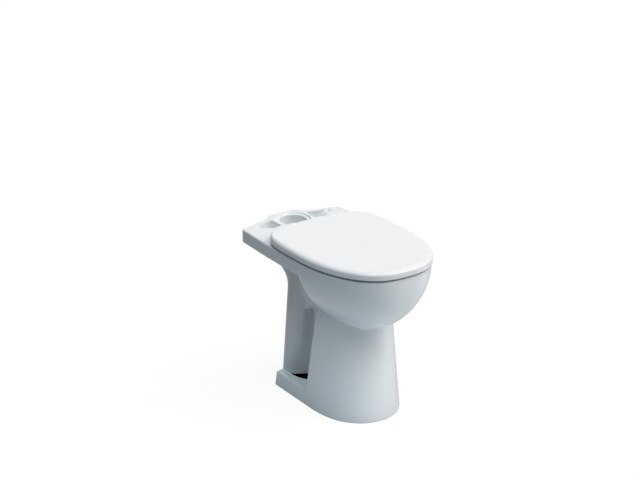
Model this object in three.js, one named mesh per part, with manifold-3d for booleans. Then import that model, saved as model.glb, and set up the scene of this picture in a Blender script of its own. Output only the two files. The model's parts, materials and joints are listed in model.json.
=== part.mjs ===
import * as THREE from 'three';
import { mergeVertices } from 'three/addons/utils/BufferGeometryUtils.js';
import Module from 'manifold-3d';

// A raised-height toilet pan of glazed china with a wrap-over lid and a hinged seat ring.
// Millimetres, +Z up. The front of the pan faces -Y. Plans are drawn as [x, forward] points,
// where forward is measured from the lid's rear edge towards the front of the bowl.

const wasm = await Module();
wasm.setup();

// Lid and seat plan
const lid_half_width = 178;
const lid_length = 455;
const lid_widest = 204;
const lid_front_power_shares = [2.58, 2.03];
const lid_rear_power_shares = [3.63, 5.22];

// Rim and deck of the pan
const rim_height = 456;
const rim_half_width = 175;
const rim_front = 450.5;
const band_depth = 39;
const deck_corner_half_width = 167;
const deck_corner_reach = 98;
const deck_corner_radius = 7;
const deck_edge_radius = 4;
const rim_edge_share = 0.35;
const tail_reach = 149;
const tail_half_width = 60;
const tail_shoulder = 131;
const side_fade_start = 110;

// Outside of the bowl below the rim
const bowl_side_drop = 203.6;
const bowl_front_drop = 214;
const bowl_rear_drop = 200;
const bowl_rear_reach = 140;
const bowl_bottom = 254;
const bowl_side_power_share = 1.75;
const bowl_front_power_share = 2.13;
const bowl_rear_power_share = 1.8;

// Pedestal and plinth
const pedestal_foot_half_width = 125;
const pedestal_neck_half_width = 119;
const pedestal_widest = 170;
const pedestal_foot_front = 356;
const pedestal_neck_front = 296;
const pedestal_neck_height = 320;
const pedestal_top = 345;
const pedestal_front_power_shares = [2.04, 2.65];
const pedestal_wall = 13;
const plinth_height = 44;
const plinth_rear = 0;
const plinth_rear_lean = 8;
const plinth_rear_bow = 14;
const plinth_corner_radius = 5;
const plinth_plate = 14;
const plinth_wall = 12;
const leg_edge_foot = 166;
const leg_edge_neck = 205;
const leg_fillet_radius = 42;
const foot_opening_half_width = 96;
const foot_opening_shoulder = 45;
const foot_opening_front = 132;
const floor_screw_spread = 106;
const floor_screw_places = [40, 117];
const floor_screw_radius = 3.5;

// Trapway and the upright outlet leg behind it
const trap_bore_radius = 36;
const trap_wall = 10;
const trap_bend_radius = 54;
const trap_inlet_at = 208;
const trap_dip_height = 208;
const trap_weir_height = 222;
const leg_foot_height = 17;
const leg_foot_half_width = 73;
const leg_foot_centre = -23;
const leg_foot_half_depth = 53;
const leg_neck_height = 285;
const leg_neck_half_width = 66;
const leg_neck_centre = -5;
const leg_neck_half_depth = 50;
const leg_flare_radius = 95;
const leg_flare_height = 78;
const leg_flare_side_share = 0.57;
const leg_flare_front_depth = 30;
const web_front = 160;
const web_start_height = 190;
const outlet_bore_radius = 44;

// Inside of the bowl
const rim_opening_half_width = 122;
const rim_opening_front = 398;
const rim_opening_rear = 104;
const rim_lip = 9;
const rim_lip_depth = 42;
const rim_top_wall = 14;
const bowl_wall = 14;
const bowl_inside_rear = 80;
const sump_height = 250;

// Flushing inlet, cistern seat and fixing holes in the deck
const inlet_centre = -88;
const inlet_radius = 39;
const inlet_step_radius = 50;
const inlet_step_depth = 4;
const inlet_floor = 404;
const inlet_boss_wall = 11;
const duct_half_width = 30;
const duct_floor = 414;
const duct_roof = 440;
const pocket_depth = 30;
const pocket_shallow_depth = 5;
const pocket_tip = 132;
const pocket_inner = 54;
const pocket_rear_reach = 112;
const pocket_front_reach = 56;
const cistern_bolt_spread = 64;
const cistern_bolt_reach = 86;
const cistern_bolt_radius = 6;
const cistern_nut_radius = 14;
const cistern_nut_height = 402;

// Seat hinges
const hinge_spread = 66;
const hinge_forward = 11.4;
const hinge_axis_rise = 17.8;
const post_barrel_radius = 12;
const post_barrel_length = 24;
const post_barrel_rise = 9.6;
const post_barrel_reach = 10.5;
const post_neck_radius = 8;
const post_base_radius = 10.5;
const post_base_thickness = 3;
const hinge_washer_thickness = 1.2;
const hinge_pin_radius = 2.5;
const seat_fixing_hole_radius = 7.5;
const seat_fixing_hole_depth = 34;
const stud_radius = 3;
const stud_grip = 6.5;
const stud_tail = 1.5;
const bush_length = 22;
const bush_nut_radius = 6;
const bush_nut_length = 6;
const liner_wall = 1.2;
const liner_flange = 0.8;
const liner_flange_radius = 4.4;
const lug_radius = 5.6;
const lug_length = 14;
const lug_arm_depth = 6.1;

// Seat ring, lid and their buffers
const buffer_height = 6.2;
const buffer_radius = 9;
const buffer_stem_radius = 3;
const buffer_stem_length = 5;
const buffer_rounding = 1.2;
const seat_buffer_place_shares = [[0.657, 0.774], [0.831, 0.33]];
const lid_buffer_place_shares = [0.663, 0.758];
const seat_thickness = 12.5;
const seat_edge_radius = 4;
const seat_opening_half_width = 107;
const seat_opening_front = 372;
const seat_opening_rear = 112;
const seat_rear = 33;
const lid_top_rise = 27.5;
const lid_wall = 3.5;
const lid_skirt = 4;
const lid_edge_reach = 16;
const lid_edge_drop = 9;
const lid_rear_edge_share = 0.5;
const lid_crown = 0.4;
const lid_to_seat = 2.5;
const post_clearance = 0.5;
const lid_buffer_radius = 7;

// Clearances and smoothness
const gap = 0.3;
const running_gap = 0.25;
const overrun = 20;
const plan_steps = 20;
const inner_plan_steps = 14;
const round_steps = 16;
const trap_bend_steps = 7;

// Heights that follow from the sizes above
const band_bottom = rim_height - band_depth;
const seat_bottom = rim_height + buffer_height + gap;
const seat_top = seat_bottom + seat_thickness;
const lid_top = rim_height + lid_top_rise;
const lid_underside = lid_top - lid_wall;
const axis_height = rim_height + hinge_axis_rise;
const datum = (lid_length - tail_reach) / 2;
const in_lid_plan = ([across, along]) => [lid_half_width * across, lid_length * along];
const seat_buffer_places = seat_buffer_place_shares.map(in_lid_plan);
const lid_buffer_place = in_lid_plan(lid_buffer_place_shares);

// Plan and loft helpers

const round_power_shares = [2, 2];

function place(x, forward, z) {
  return new THREE.Vector3(x, datum - forward, z);
}

function smooth(value) {
  const t = Math.min(Math.max(value, 0), 1);
  return t * t * (3 - 2 * t);
}

function quarter(drop, depth, power) {
  const share = Math.min(Math.max(drop / depth, 0), 1);
  return Math.max(1 - share ** power, 0) ** (1 / power);
}

function half_oval(half_width, middle, end, power_shares, steps = plan_steps) {
  const points = [];
  for (let i = 0; i <= steps; i += 1) {
    const angle = Math.PI * (1 - i / steps);
    const across = Math.cos(angle);
    const along = Math.abs(Math.sin(angle)) ** (2 / power_shares[1]);
    const x = half_width * Math.sign(across) * Math.abs(across) ** (2 / power_shares[0]);
    points.push([x, middle + (end - middle) * along]);
  }
  return points;
}

function oval(half_width, middle, front, rear, front_power_shares, rear_power_shares, steps = plan_steps) {
  const ahead = half_oval(half_width, middle, front, front_power_shares, steps);
  const behind = half_oval(half_width, middle, rear, rear_power_shares, steps).reverse();
  return [...ahead, ...behind.slice(1, -1)];
}

function inset(points, distance, weight = () => 1) {
  return points.map(([x, forward], i) => {
    const before = points[(i + points.length - 1) % points.length];
    const after = points[(i + 1) % points.length];
    const across = after[0] - before[0];
    const along = after[1] - before[1];
    const length = Math.hypot(across, along);
    const shift = distance * weight([x, forward]);
    return [x + (along / length) * shift, forward - (across / length) * shift];
  });
}

function ring(points, z) {
  return points.map(([x, forward]) => place(x, forward, z));
}

// Joins rings of equal length, from the lowest to the highest, into one closed skin
function loft(rings) {
  const count = rings[0].length;
  const positions = [];
  const faces = [];
  for (const corner of rings.flat()) positions.push(corner.x, corner.y, corner.z);
  for (let level = 0; level + 1 < rings.length; level += 1) {
    for (let i = 0; i < count; i += 1) {
      const a = level * count + i;
      const b = level * count + (i + 1) % count;
      faces.push(a, b, b + count, a, b + count, a + count);
    }
  }
  for (const level of [0, rings.length - 1]) {
    const middle = positions.length / 3;
    const centre = new THREE.Vector3();
    for (const corner of rings[level]) centre.addScaledVector(corner, 1 / count);
    positions.push(centre.x, centre.y, centre.z);
    for (let i = 0; i < count; i += 1) {
      const a = level * count + i;
      const b = level * count + (i + 1) % count;
      if (level === 0) faces.push(middle, b, a);
      else faces.push(middle, a, b);
    }
  }
  const geometry = new THREE.BufferGeometry();
  geometry.setAttribute('position', new THREE.Float32BufferAttribute(positions, 3));
  geometry.setIndex(faces);
  return geometry;
}

function prism(points, low, high) {
  return loft([ring(points, low), ring(points, high)]);
}

function disc(radius, length, x, forward, low) {
  const geometry = new THREE.CylinderGeometry(radius, radius, length, round_steps);
  geometry.rotateX(Math.PI / 2);
  geometry.translate(x, datum - forward, low + length / 2);
  return geometry;
}

function cross_disc(radius, length, x, forward, z) {
  const geometry = new THREE.CylinderGeometry(radius, radius, length, round_steps);
  geometry.rotateZ(Math.PI / 2);
  geometry.translate(x, datum - forward, z);
  return geometry;
}

function block(low, high) {
  const size = new THREE.Vector3().subVectors(high, low);
  const geometry = new THREE.BoxGeometry(Math.abs(size.x), Math.abs(size.y), Math.abs(size.z));
  geometry.translate((low.x + high.x) / 2, (low.y + high.y) / 2, (low.z + high.z) / 2);
  return geometry;
}

// Solid helpers

function solid(geometry) {
  const bare = geometry.clone();
  bare.deleteAttribute('normal');
  bare.deleteAttribute('uv');
  const merged = mergeVertices(bare);
  return new wasm.Manifold(new wasm.Mesh({
    numProp: 3,
    vertProperties: Float32Array.from(merged.attributes.position.array),
    triVerts: Uint32Array.from(merged.index.array),
  }));
}

function surface(body) {
  const mesh = body.getMesh();
  const geometry = new THREE.BufferGeometry();
  const places = Float32Array.from(mesh.vertProperties);
  geometry.setAttribute('position', new THREE.Float32BufferAttribute(places, 3));
  geometry.setIndex(Array.from(mesh.triVerts));
  geometry.computeVertexNormals();
  return geometry;
}

function joined(...geometries) {
  return geometries.map(solid).reduce((whole, next) => whole.add(next));
}

function cut(body, ...geometries) {
  return geometries.map(solid).reduce((whole, next) => whole.subtract(next), body);
}

function both_sides(make) {
  return [make(-1), make(1)];
}

// Pan: plan of the rim and deck at a height

function side_scale(z) {
  return quarter(rim_height - z, bowl_side_drop, bowl_side_power_share);
}

function bowl_half_width(z) {
  return rim_half_width * side_scale(z);
}

function bowl_front(z) {
  const scale = quarter(rim_height - z, bowl_front_drop, bowl_front_power_share);
  return lid_widest + (rim_front - lid_widest) * scale;
}

function bowl_rear(z) {
  return lid_widest - bowl_rear_reach * quarter(rim_height - z, bowl_rear_drop, bowl_rear_power_share);
}

const deck_side_steps = 6;
const corner_steps = 5;
const corner_turn_share = 0.8;
const tail_outline_shares = [
  [1.12, -0.16], [1.0, 0.06], [0.9, 0.42], [0.8, 0.76], [0.66, 0.93], [0.45, 0.99], [0.22, 1.0],
];

function deck_half() {
  const points = [];
  const arc_centre = [deck_corner_half_width - deck_corner_radius, deck_corner_radius - deck_corner_reach];
  for (let i = 1; i <= deck_side_steps; i += 1) {
    const t = 1 - i / deck_side_steps;
    const spread = (rim_half_width - deck_corner_half_width) * (1 - (1 - t) ** 2);
    points.push([deck_corner_half_width + spread, arc_centre[1] + (lid_widest - arc_centre[1]) * t]);
  }
  for (let i = 1; i <= corner_steps; i += 1) {
    const angle = -(Math.PI / 2) * corner_turn_share * (i / corner_steps);
    points.push([
      arc_centre[0] + deck_corner_radius * Math.cos(angle),
      arc_centre[1] + deck_corner_radius * Math.sin(angle),
    ]);
  }
  for (const [across, along] of tail_outline_shares) {
    const reach = tail_shoulder + (tail_reach - tail_shoulder) * along;
    points.push([tail_half_width * across, -reach]);
  }
  return points;
}

function rearness([, forward]) {
  return 1 - smooth((forward - side_fade_start) / (lid_widest - side_fade_start));
}

function deck_plan(z) {
  const front = half_oval(bowl_half_width(z), lid_widest, bowl_front(z), lid_front_power_shares);
  const narrowing = rim_half_width - bowl_half_width(z);
  const right = deck_half().map(([x, forward]) => [x - narrowing * (1 - rearness([x, forward])), forward]);
  const left = right.map(([x, forward]) => [-x, forward]).reverse();
  return [...front, ...right, [0, -tail_reach], ...left];
}

// Insets and heights round a soft edge, as shares of its radius
const lower_edge_shares = [[0.9, 0], [0.3, 0.35], [0, 1]];
const upper_edge_shares = [[0, 1], [0.3, 0.35], [1, 0]];

// The outer edge is sharper where the lid covers it
function edge_softness(point) {
  return rim_edge_share + (1 - rim_edge_share) * rearness(point);
}

function deck_body() {
  const soft = deck_edge_radius;
  const middle = (band_bottom + rim_height) / 2;
  const lower = lower_edge_shares.map(([share, rise_share]) => {
    const z = band_bottom + soft * rise_share;
    return ring(inset(deck_plan(z), soft * share, rearness), z);
  });
  const upper = upper_edge_shares.map(([share, drop_share]) => {
    const z = rim_height - soft * drop_share;
    return ring(inset(deck_plan(z), soft * share, edge_softness), z);
  });
  return loft([...lower, ring(deck_plan(middle), middle), ...upper]);
}

const bowl_level_shares = [0, 0.03, 0.09, 0.18, 0.3, 0.45, 0.62, 0.8, 1];
const bowl_rear_power_shares = [1.5, 1.5];

function bowl_body() {
  const rings = bowl_level_shares.map((share) => {
    const z = bowl_bottom + (band_bottom - bowl_bottom) * share;
    const plan = oval(bowl_half_width(z), lid_widest, bowl_front(z), bowl_rear(z),
      lid_front_power_shares, bowl_rear_power_shares);
    return ring(plan, z);
  });
  const z = band_bottom + deck_edge_radius;
  const plan = oval(bowl_half_width(band_bottom), lid_widest, bowl_front(band_bottom),
    bowl_rear(band_bottom), lid_front_power_shares, bowl_rear_power_shares);
  rings.push(ring(inset(plan, deck_edge_radius), z));
  return loft(rings);
}

// Pan: pedestal and plinth

function pedestal_plan(z, wall) {
  const t = z / pedestal_neck_height;
  const narrowing = pedestal_foot_half_width - pedestal_neck_half_width;
  const half_width = pedestal_foot_half_width - narrowing * t - wall;
  const front = pedestal_foot_front + (pedestal_neck_front - pedestal_foot_front) * t - wall;
  const points = half_oval(half_width, pedestal_widest, front, pedestal_front_power_shares);
  const corner = plinth_corner_radius;
  const rear = plinth_rear + (plinth_rear_lean * z) / plinth_height + wall;
  const right = [];
  for (let i = 0; i <= corner_steps; i += 1) {
    const angle = -(Math.PI / 2) * (i / corner_steps);
    right.push([half_width - corner + corner * Math.cos(angle), rear + corner + corner * Math.sin(angle)]);
  }
  const bow_half_share = 0.5;
  const bow_rise_share = 0.75;
  right.push([half_width * bow_half_share, rear - plinth_rear_bow * bow_rise_share]);
  const left = right.map(([x, forward]) => [-x, forward]).reverse();
  return [...points, ...right, [0, rear - plinth_rear_bow], ...left];
}

const window_corner_steps = 8;

function pedestal_window() {
  const lean = (leg_edge_neck - leg_edge_foot) / (pedestal_neck_height - plinth_height - leg_fillet_radius);
  const shape = new THREE.Shape();
  const edge_low = plinth_height + leg_fillet_radius;
  const far = tail_reach + overrun;
  const high = rim_height + overrun;
  shape.moveTo(-far, plinth_height);
  shape.lineTo(leg_edge_foot - leg_fillet_radius, plinth_height);
  const pull = leg_edge_foot - (lean * leg_fillet_radius) / 2;
  shape.quadraticCurveTo(pull, plinth_height, leg_edge_foot, edge_low);
  shape.lineTo(leg_edge_foot + lean * (high - edge_low), high);
  shape.lineTo(-far, high);
  const width = (pedestal_foot_half_width + overrun) * 2;
  const geometry = new THREE.ExtrudeGeometry(shape, {
    depth: width, bevelEnabled: false, curveSegments: window_corner_steps,
  });
  // The shape's x is forward and its y is up: turn it to stand across the pan
  const basis = new THREE.Matrix4().makeBasis(
    new THREE.Vector3(0, -1, 0), new THREE.Vector3(0, 0, 1), new THREE.Vector3(-1, 0, 0));
  geometry.applyMatrix4(basis);
  geometry.translate(width / 2, datum, 0);
  return geometry;
}

const pedestal_level_shares = [0, 0.35, 0.7, 1];

function pedestal_body() {
  const outer_levels = pedestal_level_shares.map((share) => pedestal_top * share);
  const outer = loft(outer_levels.map((z) => ring(pedestal_plan(z, 0), z)));
  const inner_levels = [plinth_height, pedestal_top / 2, pedestal_top + overrun];
  const inner = loft(inner_levels.map((z) => ring(pedestal_plan(z, pedestal_wall), z)));
  const under = prism(pedestal_plan(0, plinth_wall), -overrun, plinth_height - plinth_plate);
  const round_shares = [2.2, 2.2];
  const nose = half_oval(foot_opening_half_width, foot_opening_shoulder, foot_opening_front, round_shares,
    inner_plan_steps);
  const ends = [[foot_opening_half_width, -tail_reach], [-foot_opening_half_width, -tail_reach]];
  const opening = prism([...nose, ...ends], -overrun, plinth_height + gap);
  return cut(solid(outer), inner, under, opening, pedestal_window());
}

// Pan: trapway, outlet leg and the chamber under the deck

function leg_plan(z) {
  const t = (z - leg_foot_height) / (leg_neck_height - leg_foot_height);
  const mix = (low, high) => low + (high - low) * Math.min(t, 1);
  const centre = mix(leg_foot_centre, leg_neck_centre);
  const half_depth = mix(leg_foot_half_depth, leg_neck_half_depth);
  const web = smooth((z - web_start_height) / (leg_neck_height - web_start_height));
  const plain_front = centre + half_depth;
  const front = plain_front + (web_front - plain_front) * web;
  return oval(mix(leg_foot_half_width, leg_neck_half_width), centre, front, centre - half_depth,
    round_power_shares, round_power_shares, inner_plan_steps);
}

const leg_level_shares = [0, 0.3, 0.64, 0.76, 0.88, 1];
const flare_level_shares = [0, 0.3, 0.55, 0.8, 1];

function leg_body() {
  const height = leg_neck_height - leg_foot_height;
  const levels = leg_level_shares.map((share) => leg_foot_height + height * share);
  levels.push(band_bottom + deck_edge_radius);
  return loft(levels.map((z) => ring(leg_plan(z), z)));
}

// The back of the leg spreads backwards and sideways below the deck
function flare_plan(climb) {
  const spread = leg_flare_radius - Math.sqrt(leg_flare_radius ** 2 - climb ** 2);
  const centre = leg_neck_centre - spread;
  return oval(leg_neck_half_width + spread * leg_flare_side_share, centre, centre + leg_flare_front_depth,
    centre - leg_neck_half_depth, round_power_shares, round_power_shares, inner_plan_steps);
}

function flare_body() {
  const rings = flare_level_shares.map((share) => {
    const climb = leg_flare_height * share;
    return ring(flare_plan(climb), leg_neck_height + climb);
  });
  rings.push(ring(flare_plan(leg_flare_height), band_bottom + deck_edge_radius));
  return loft(rings);
}

// Places along the water's way: down from the sump, round the dip, up, over the weir and down
function trap_stations(radius, outlet_radius, sump_top, outlet_low) {
  const stations = [{ forward: trap_inlet_at, z: sump_top, radius }];
  const bend = (centre, height, turn) => {
    for (let i = 0; i <= trap_bend_steps; i += 1) {
      const angle = turn * Math.PI * (i / trap_bend_steps);
      stations.push({
        forward: centre + trap_bend_radius * Math.cos(angle),
        z: height + trap_bend_radius * Math.sin(angle),
        radius,
      });
    }
  };
  const rising_leg = trap_inlet_at - trap_bend_radius - trap_bend_radius;
  bend(trap_inlet_at - trap_bend_radius, trap_dip_height, -1);
  bend(rising_leg - trap_bend_radius, trap_weir_height, 1);
  stations.push({ forward: leg_foot_centre, z: leg_foot_height, radius: outlet_radius });
  stations.push({ forward: leg_foot_centre, z: outlet_low, radius: outlet_radius });
  return stations;
}

function trap_tube(stations) {
  const points = stations.map(({ forward, z }) => place(0, forward, z));
  const rings = stations.map(({ radius }, i) => {
    const before = points[Math.max(i - 1, 0)];
    const after = points[Math.min(i + 1, points.length - 1)];
    const along = new THREE.Vector3().subVectors(after, before).normalize();
    const side = new THREE.Vector3(1, 0, 0);
    const up = new THREE.Vector3().crossVectors(along, side);
    const corners = [];
    for (let k = 0; k < round_steps; k += 1) {
      const angle = (2 * Math.PI * k) / round_steps;
      const corner = points[i].clone().addScaledVector(side, radius * Math.cos(angle));
      corners.push(corner.addScaledVector(up, radius * Math.sin(angle)));
    }
    return corners;
  });
  return loft(rings);
}

// Pan: inside of the bowl, flushing channel and inlet

const inside_level_shares = [0, 0.08, 0.2, 0.36, 0.55, 0.77, 1];
const inside_rise_power_share = 2.2;
const mouth_front_power_shares = [2.3, 2.1];
const mouth_rear_power_shares = [2, 2];
const inside_rear_power_shares = [1.5, 1.5];

function inside_plan(z) {
  const top = rim_height - rim_lip_depth;
  const t = Math.min((z - sump_height) / (top - sump_height), 1);
  const open = 1 - (1 - t) ** inside_rise_power_share;
  const outer = Math.min(z, top);
  const mix = (low, high) => low + (high - low) * open;
  return oval(
    mix(trap_bore_radius, bowl_half_width(outer) - bowl_wall),
    trap_inlet_at,
    mix(trap_inlet_at + trap_bore_radius, bowl_front(outer) - bowl_wall),
    mix(trap_inlet_at - trap_bore_radius, bowl_inside_rear),
    mouth_front_power_shares, inside_rear_power_shares, inner_plan_steps);
}

function inside_body() {
  const top = rim_height - rim_lip_depth;
  const levels = inside_level_shares.map((share) => sump_height + (top - sump_height) * share);
  return solid(loft(levels.map((z) => ring(inside_plan(z), z))));
}

function mouth_plan(grow) {
  return oval(rim_opening_half_width + grow, lid_widest, rim_opening_front + grow, rim_opening_rear - grow,
    mouth_front_power_shares, mouth_rear_power_shares, inner_plan_steps);
}

function channel_body() {
  const low = rim_height - rim_lip_depth - gap;
  const high = rim_height - rim_top_wall;
  const lip = prism(mouth_plan(rim_lip), low - overrun, high + overrun);
  return solid(prism(inside_plan(high), low, high)).subtract(solid(lip));
}

// Where the one step in a soft inner edge lies, in and down from its corner
const bend_share = 0.3;

function throat_body() {
  const low = rim_height - rim_lip_depth - gap;
  const soft = deck_edge_radius;
  return loft([
    ring(mouth_plan(0), low),
    ring(mouth_plan(0), rim_height - soft),
    ring(mouth_plan(soft * bend_share), rim_height - soft * bend_share),
    ring(mouth_plan(soft + gap), rim_height + gap),
  ]);
}

function inlet_cuts() {
  const duct_end = rim_opening_rear + rim_lip / 2;
  return [
    disc(inlet_radius, rim_height + overrun - inlet_floor, 0, inlet_centre, inlet_floor),
    disc(inlet_step_radius, overrun, 0, inlet_centre, rim_height - inlet_step_depth),
    block(place(-duct_half_width, inlet_centre, duct_floor), place(duct_half_width, duct_end, duct_roof)),
  ];
}

// The recess beside the inlet for a cistern bolt: shallow at its outer tip and deep next to the inlet
const pocket_outline_shares = [
  [0.02, 0.14], [0.2, 0.0], [0.42, 0.0], [0.72, 0.26], [0.96, 0.52],
  [0.96, 0.64], [0.55, 0.82], [0.12, 1.0], [0.04, 0.93], [0.07, 0.55],
];
const pocket_floor_shrink_share = 0.84;
const pocket_slope_share = 0.36;

function pocket(side) {
  const width = pocket_tip - pocket_inner;
  const depth = pocket_rear_reach - pocket_front_reach;
  const middle = [pocket_inner + width / 2, -(pocket_front_reach + depth / 2)];
  const corners = pocket_outline_shares.map(([across, along]) =>
    [pocket_inner + width * across, -(pocket_front_reach + depth * along)]);
  const floor_height = (x) => {
    const along = (x - pocket_inner) / width;
    const deep = 1 - smooth((along - pocket_slope_share) / pocket_slope_share);
    return rim_height - pocket_shallow_depth - (pocket_depth - pocket_shallow_depth) * deep;
  };
  const floor = corners.map(([x, forward]) => [
    middle[0] + (x - middle[0]) * pocket_floor_shrink_share,
    middle[1] + (forward - middle[1]) * pocket_floor_shrink_share,
  ]);
  const low = floor.map(([x, forward]) => place(side * x, forward, floor_height(x)));
  const high = corners.map(([x, forward]) => place(side * x, forward, rim_height + gap));
  if (side < 0) {
    low.reverse();
    high.reverse();
  }
  return loft([low, high]);
}

function deck_holes() {
  const through = rim_height + overrun - cistern_nut_height;
  const reach_down = cistern_nut_height - leg_neck_height;
  return both_sides((side) => [
    disc(seat_fixing_hole_radius, seat_fixing_hole_depth + overrun, side * hinge_spread, hinge_forward,
      rim_height - seat_fixing_hole_depth),
    pocket(side),
    disc(cistern_bolt_radius, through, side * cistern_bolt_spread, -cistern_bolt_reach, cistern_nut_height),
    disc(cistern_nut_radius, reach_down, side * cistern_bolt_spread, -cistern_bolt_reach, leg_neck_height),
    ...floor_screw_places.map((forward) =>
      disc(floor_screw_radius, plinth_height + overrun, side * floor_screw_spread, forward, 0)),
  ]).flat();
}

function pan_geometry() {
  const shell = trap_bore_radius + trap_wall;
  const boss_low = inlet_floor - inlet_boss_wall;
  const boss_height = band_bottom + deck_edge_radius - boss_low;
  const shell_way = trap_stations(shell, shell, sump_height + trap_wall, leg_foot_height + trap_wall);
  const water_way = trap_stations(trap_bore_radius, outlet_bore_radius, sump_height + gap, -overrun);
  const outside = joined(
    deck_body(),
    bowl_body(),
    leg_body(),
    flare_body(),
    disc(inlet_radius + inlet_boss_wall, boss_height, 0, inlet_centre, boss_low),
    trap_tube(shell_way),
  ).add(pedestal_body());
  const hollow = inside_body()
    .add(channel_body())
    .add(solid(throat_body()))
    .add(solid(trap_tube(water_way)));
  return surface(cut(outside.subtract(hollow), ...inlet_cuts(), ...deck_holes()));
}

// Lid and seat ring plans

function lid_plan(margin, weight) {
  return inset(
    oval(lid_half_width, lid_widest, lid_length, 0, lid_front_power_shares, lid_rear_power_shares),
    margin, weight);
}

// The lid's upper edge is rounded less towards the hinges
function lid_edge_plan(margin) {
  return lid_plan(margin, ([, forward]) =>
    lid_rear_edge_share + (1 - lid_rear_edge_share) * smooth(forward / lid_widest));
}

const rounding_steps = 4;

// The edge is rounded over a reach inwards and a drop below the top
function soft_top(plan, low, high, reach, drop, crown) {
  const rings = [ring(plan(0), low)];
  for (let i = 0; i <= rounding_steps; i += 1) {
    const angle = (Math.PI / 2) * (i / rounding_steps);
    rings.push(ring(plan(reach * (1 - Math.cos(angle))), high - drop * (1 - Math.sin(angle))));
  }
  if (crown > 0) {
    const crown_inset_share = 0.4;
    rings.push(ring(plan(lid_half_width * crown_inset_share), high + crown));
  }
  return loft(rings);
}

// The eyes of the seat and lid sit on either side of each post, round the hinge axis
const lug_offset = post_barrel_length / 2 + liner_flange + gap + gap + lug_length / 2;
const liner_radius = hinge_pin_radius + running_gap + liner_wall;
const eye_bore_radius = liner_radius + running_gap;

function eye_bore(x) {
  return cross_disc(eye_bore_radius, lug_length + overrun, x, hinge_forward, axis_height);
}

function lid_geometry() {
  const outer = soft_top(lid_edge_plan, seat_bottom, lid_top, lid_edge_reach, lid_edge_drop, lid_crown);
  const inner_plan = (margin) => lid_plan(lid_skirt + margin);
  const inner = loft([
    ring(inner_plan(0), seat_bottom - overrun),
    ring(inner_plan(0), lid_underside - lid_wall),
    ring(inner_plan(lid_wall * bend_share), lid_underside - lid_wall * bend_share),
    ring(inner_plan(lid_wall), lid_underside),
  ]);
  const notch_half = post_barrel_length / 2 + post_clearance;
  const notch_end = hinge_forward + post_barrel_reach + post_clearance;
  const notches = both_sides((side) => block(
    place(side * hinge_spread - notch_half, -overrun, seat_bottom - overrun),
    place(side * hinge_spread + notch_half, notch_end, lid_top + overrun)));
  let body = cut(solid(outer), inner, ...notches);
  const centres = both_sides((side) => side * (hinge_spread + lug_offset));
  for (const x of centres) {
    body = body.add(solid(cross_disc(lug_radius, lug_length, x, hinge_forward, axis_height)));
    body = body.add(solid(block(
      place(x - lug_length / 2, hinge_forward + lug_radius, axis_height),
      place(x + lug_length / 2, hinge_forward - lug_radius, lid_underside + lid_wall / 4))));
  }
  const stems = both_sides((side) => disc(buffer_stem_radius + gap, lid_wall / 2 + gap + overrun,
    side * lid_buffer_place[0], lid_buffer_place[1], lid_underside - overrun));
  return surface(cut(body, ...centres.map(eye_bore), ...stems));
}

function seat_geometry() {
  const margin = lid_skirt + lid_to_seat;
  const outer = soft_top((grow) => lid_plan(margin + grow), seat_bottom, seat_top,
    seat_edge_radius, seat_edge_radius, 0);
  const opening_plan = (grow) => oval(seat_opening_half_width + grow, lid_widest, seat_opening_front + grow,
    seat_opening_rear - grow, mouth_front_power_shares, mouth_rear_power_shares, inner_plan_steps);
  const opening = loft([
    ring(opening_plan(0), seat_bottom - overrun),
    ring(opening_plan(0), seat_top - seat_edge_radius),
    ring(opening_plan(seat_edge_radius * bend_share), seat_top - seat_edge_radius * bend_share),
    ring(opening_plan(seat_edge_radius + gap), seat_top + gap),
  ]);
  const behind = block(
    place(-lid_half_width, -overrun, seat_bottom - overrun),
    place(lid_half_width, seat_rear, seat_top + overrun));
  const centres = both_sides((side) => side * (hinge_spread - lug_offset));
  let body = cut(solid(outer), opening, behind);
  for (const x of centres) {
    body = body.add(solid(cross_disc(lug_radius, lug_length, x, hinge_forward, axis_height)));
    body = body.add(solid(block(
      place(x - lug_length / 2, seat_rear + overrun, seat_top - lug_arm_depth),
      place(x + lug_length / 2, hinge_forward, seat_top - gap))));
  }
  const stem_depth = buffer_stem_length + gap + overrun;
  const stems = seat_buffer_places.flatMap(([x, forward]) => both_sides((side) =>
    disc(buffer_stem_radius + gap, stem_depth, side * x, forward, seat_bottom - overrun)));
  return surface(cut(body, ...centres.map(eye_bore), ...stems));
}

// Small round pieces, turned about their own axis and standing on z = 0

function turned(profile) {
  const points = profile.map(([radius, height]) => new THREE.Vector2(radius, height));
  const geometry = new THREE.LatheGeometry([...points, points[0]], round_steps);
  geometry.rotateX(Math.PI / 2);
  return surface(solid(geometry));
}

function buffer_geometry(radius, height, stem_length) {
  const soft = buffer_rounding;
  return turned([
    [0, 0], [radius - soft, 0], [radius, soft], [radius, height],
    [buffer_stem_radius, height], [buffer_stem_radius, height + stem_length], [0, height + stem_length],
  ]);
}

function washer_geometry() {
  const bore = stud_radius + gap;
  return turned([
    [bore, 0], [post_base_radius, 0],
    [post_base_radius, hinge_washer_thickness], [bore, hinge_washer_thickness],
  ]);
}

const bush_rib_count = 2;
const bush_rib_start_share = 0.25;
const bush_rib_end_share = 0.75;

function bush_geometry() {
  const bore = stud_radius + gap;
  const outer = seat_fixing_hole_radius - gap;
  const groove_depth = (outer - bore) / 4;
  const profile = [[bore, 0], [outer - groove_depth, 0]];
  for (let i = 0; i < bush_rib_count; i += 1) {
    const start = (bush_length * (i + bush_rib_start_share)) / bush_rib_count;
    const end = (bush_length * (i + bush_rib_end_share)) / bush_rib_count;
    profile.push([outer - groove_depth, start], [outer, start + groove_depth]);
    profile.push([outer, end], [outer - groove_depth, end + groove_depth]);
  }
  profile.push([outer - groove_depth, bush_length], [bore, bush_length]);
  return turned(profile);
}

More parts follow.
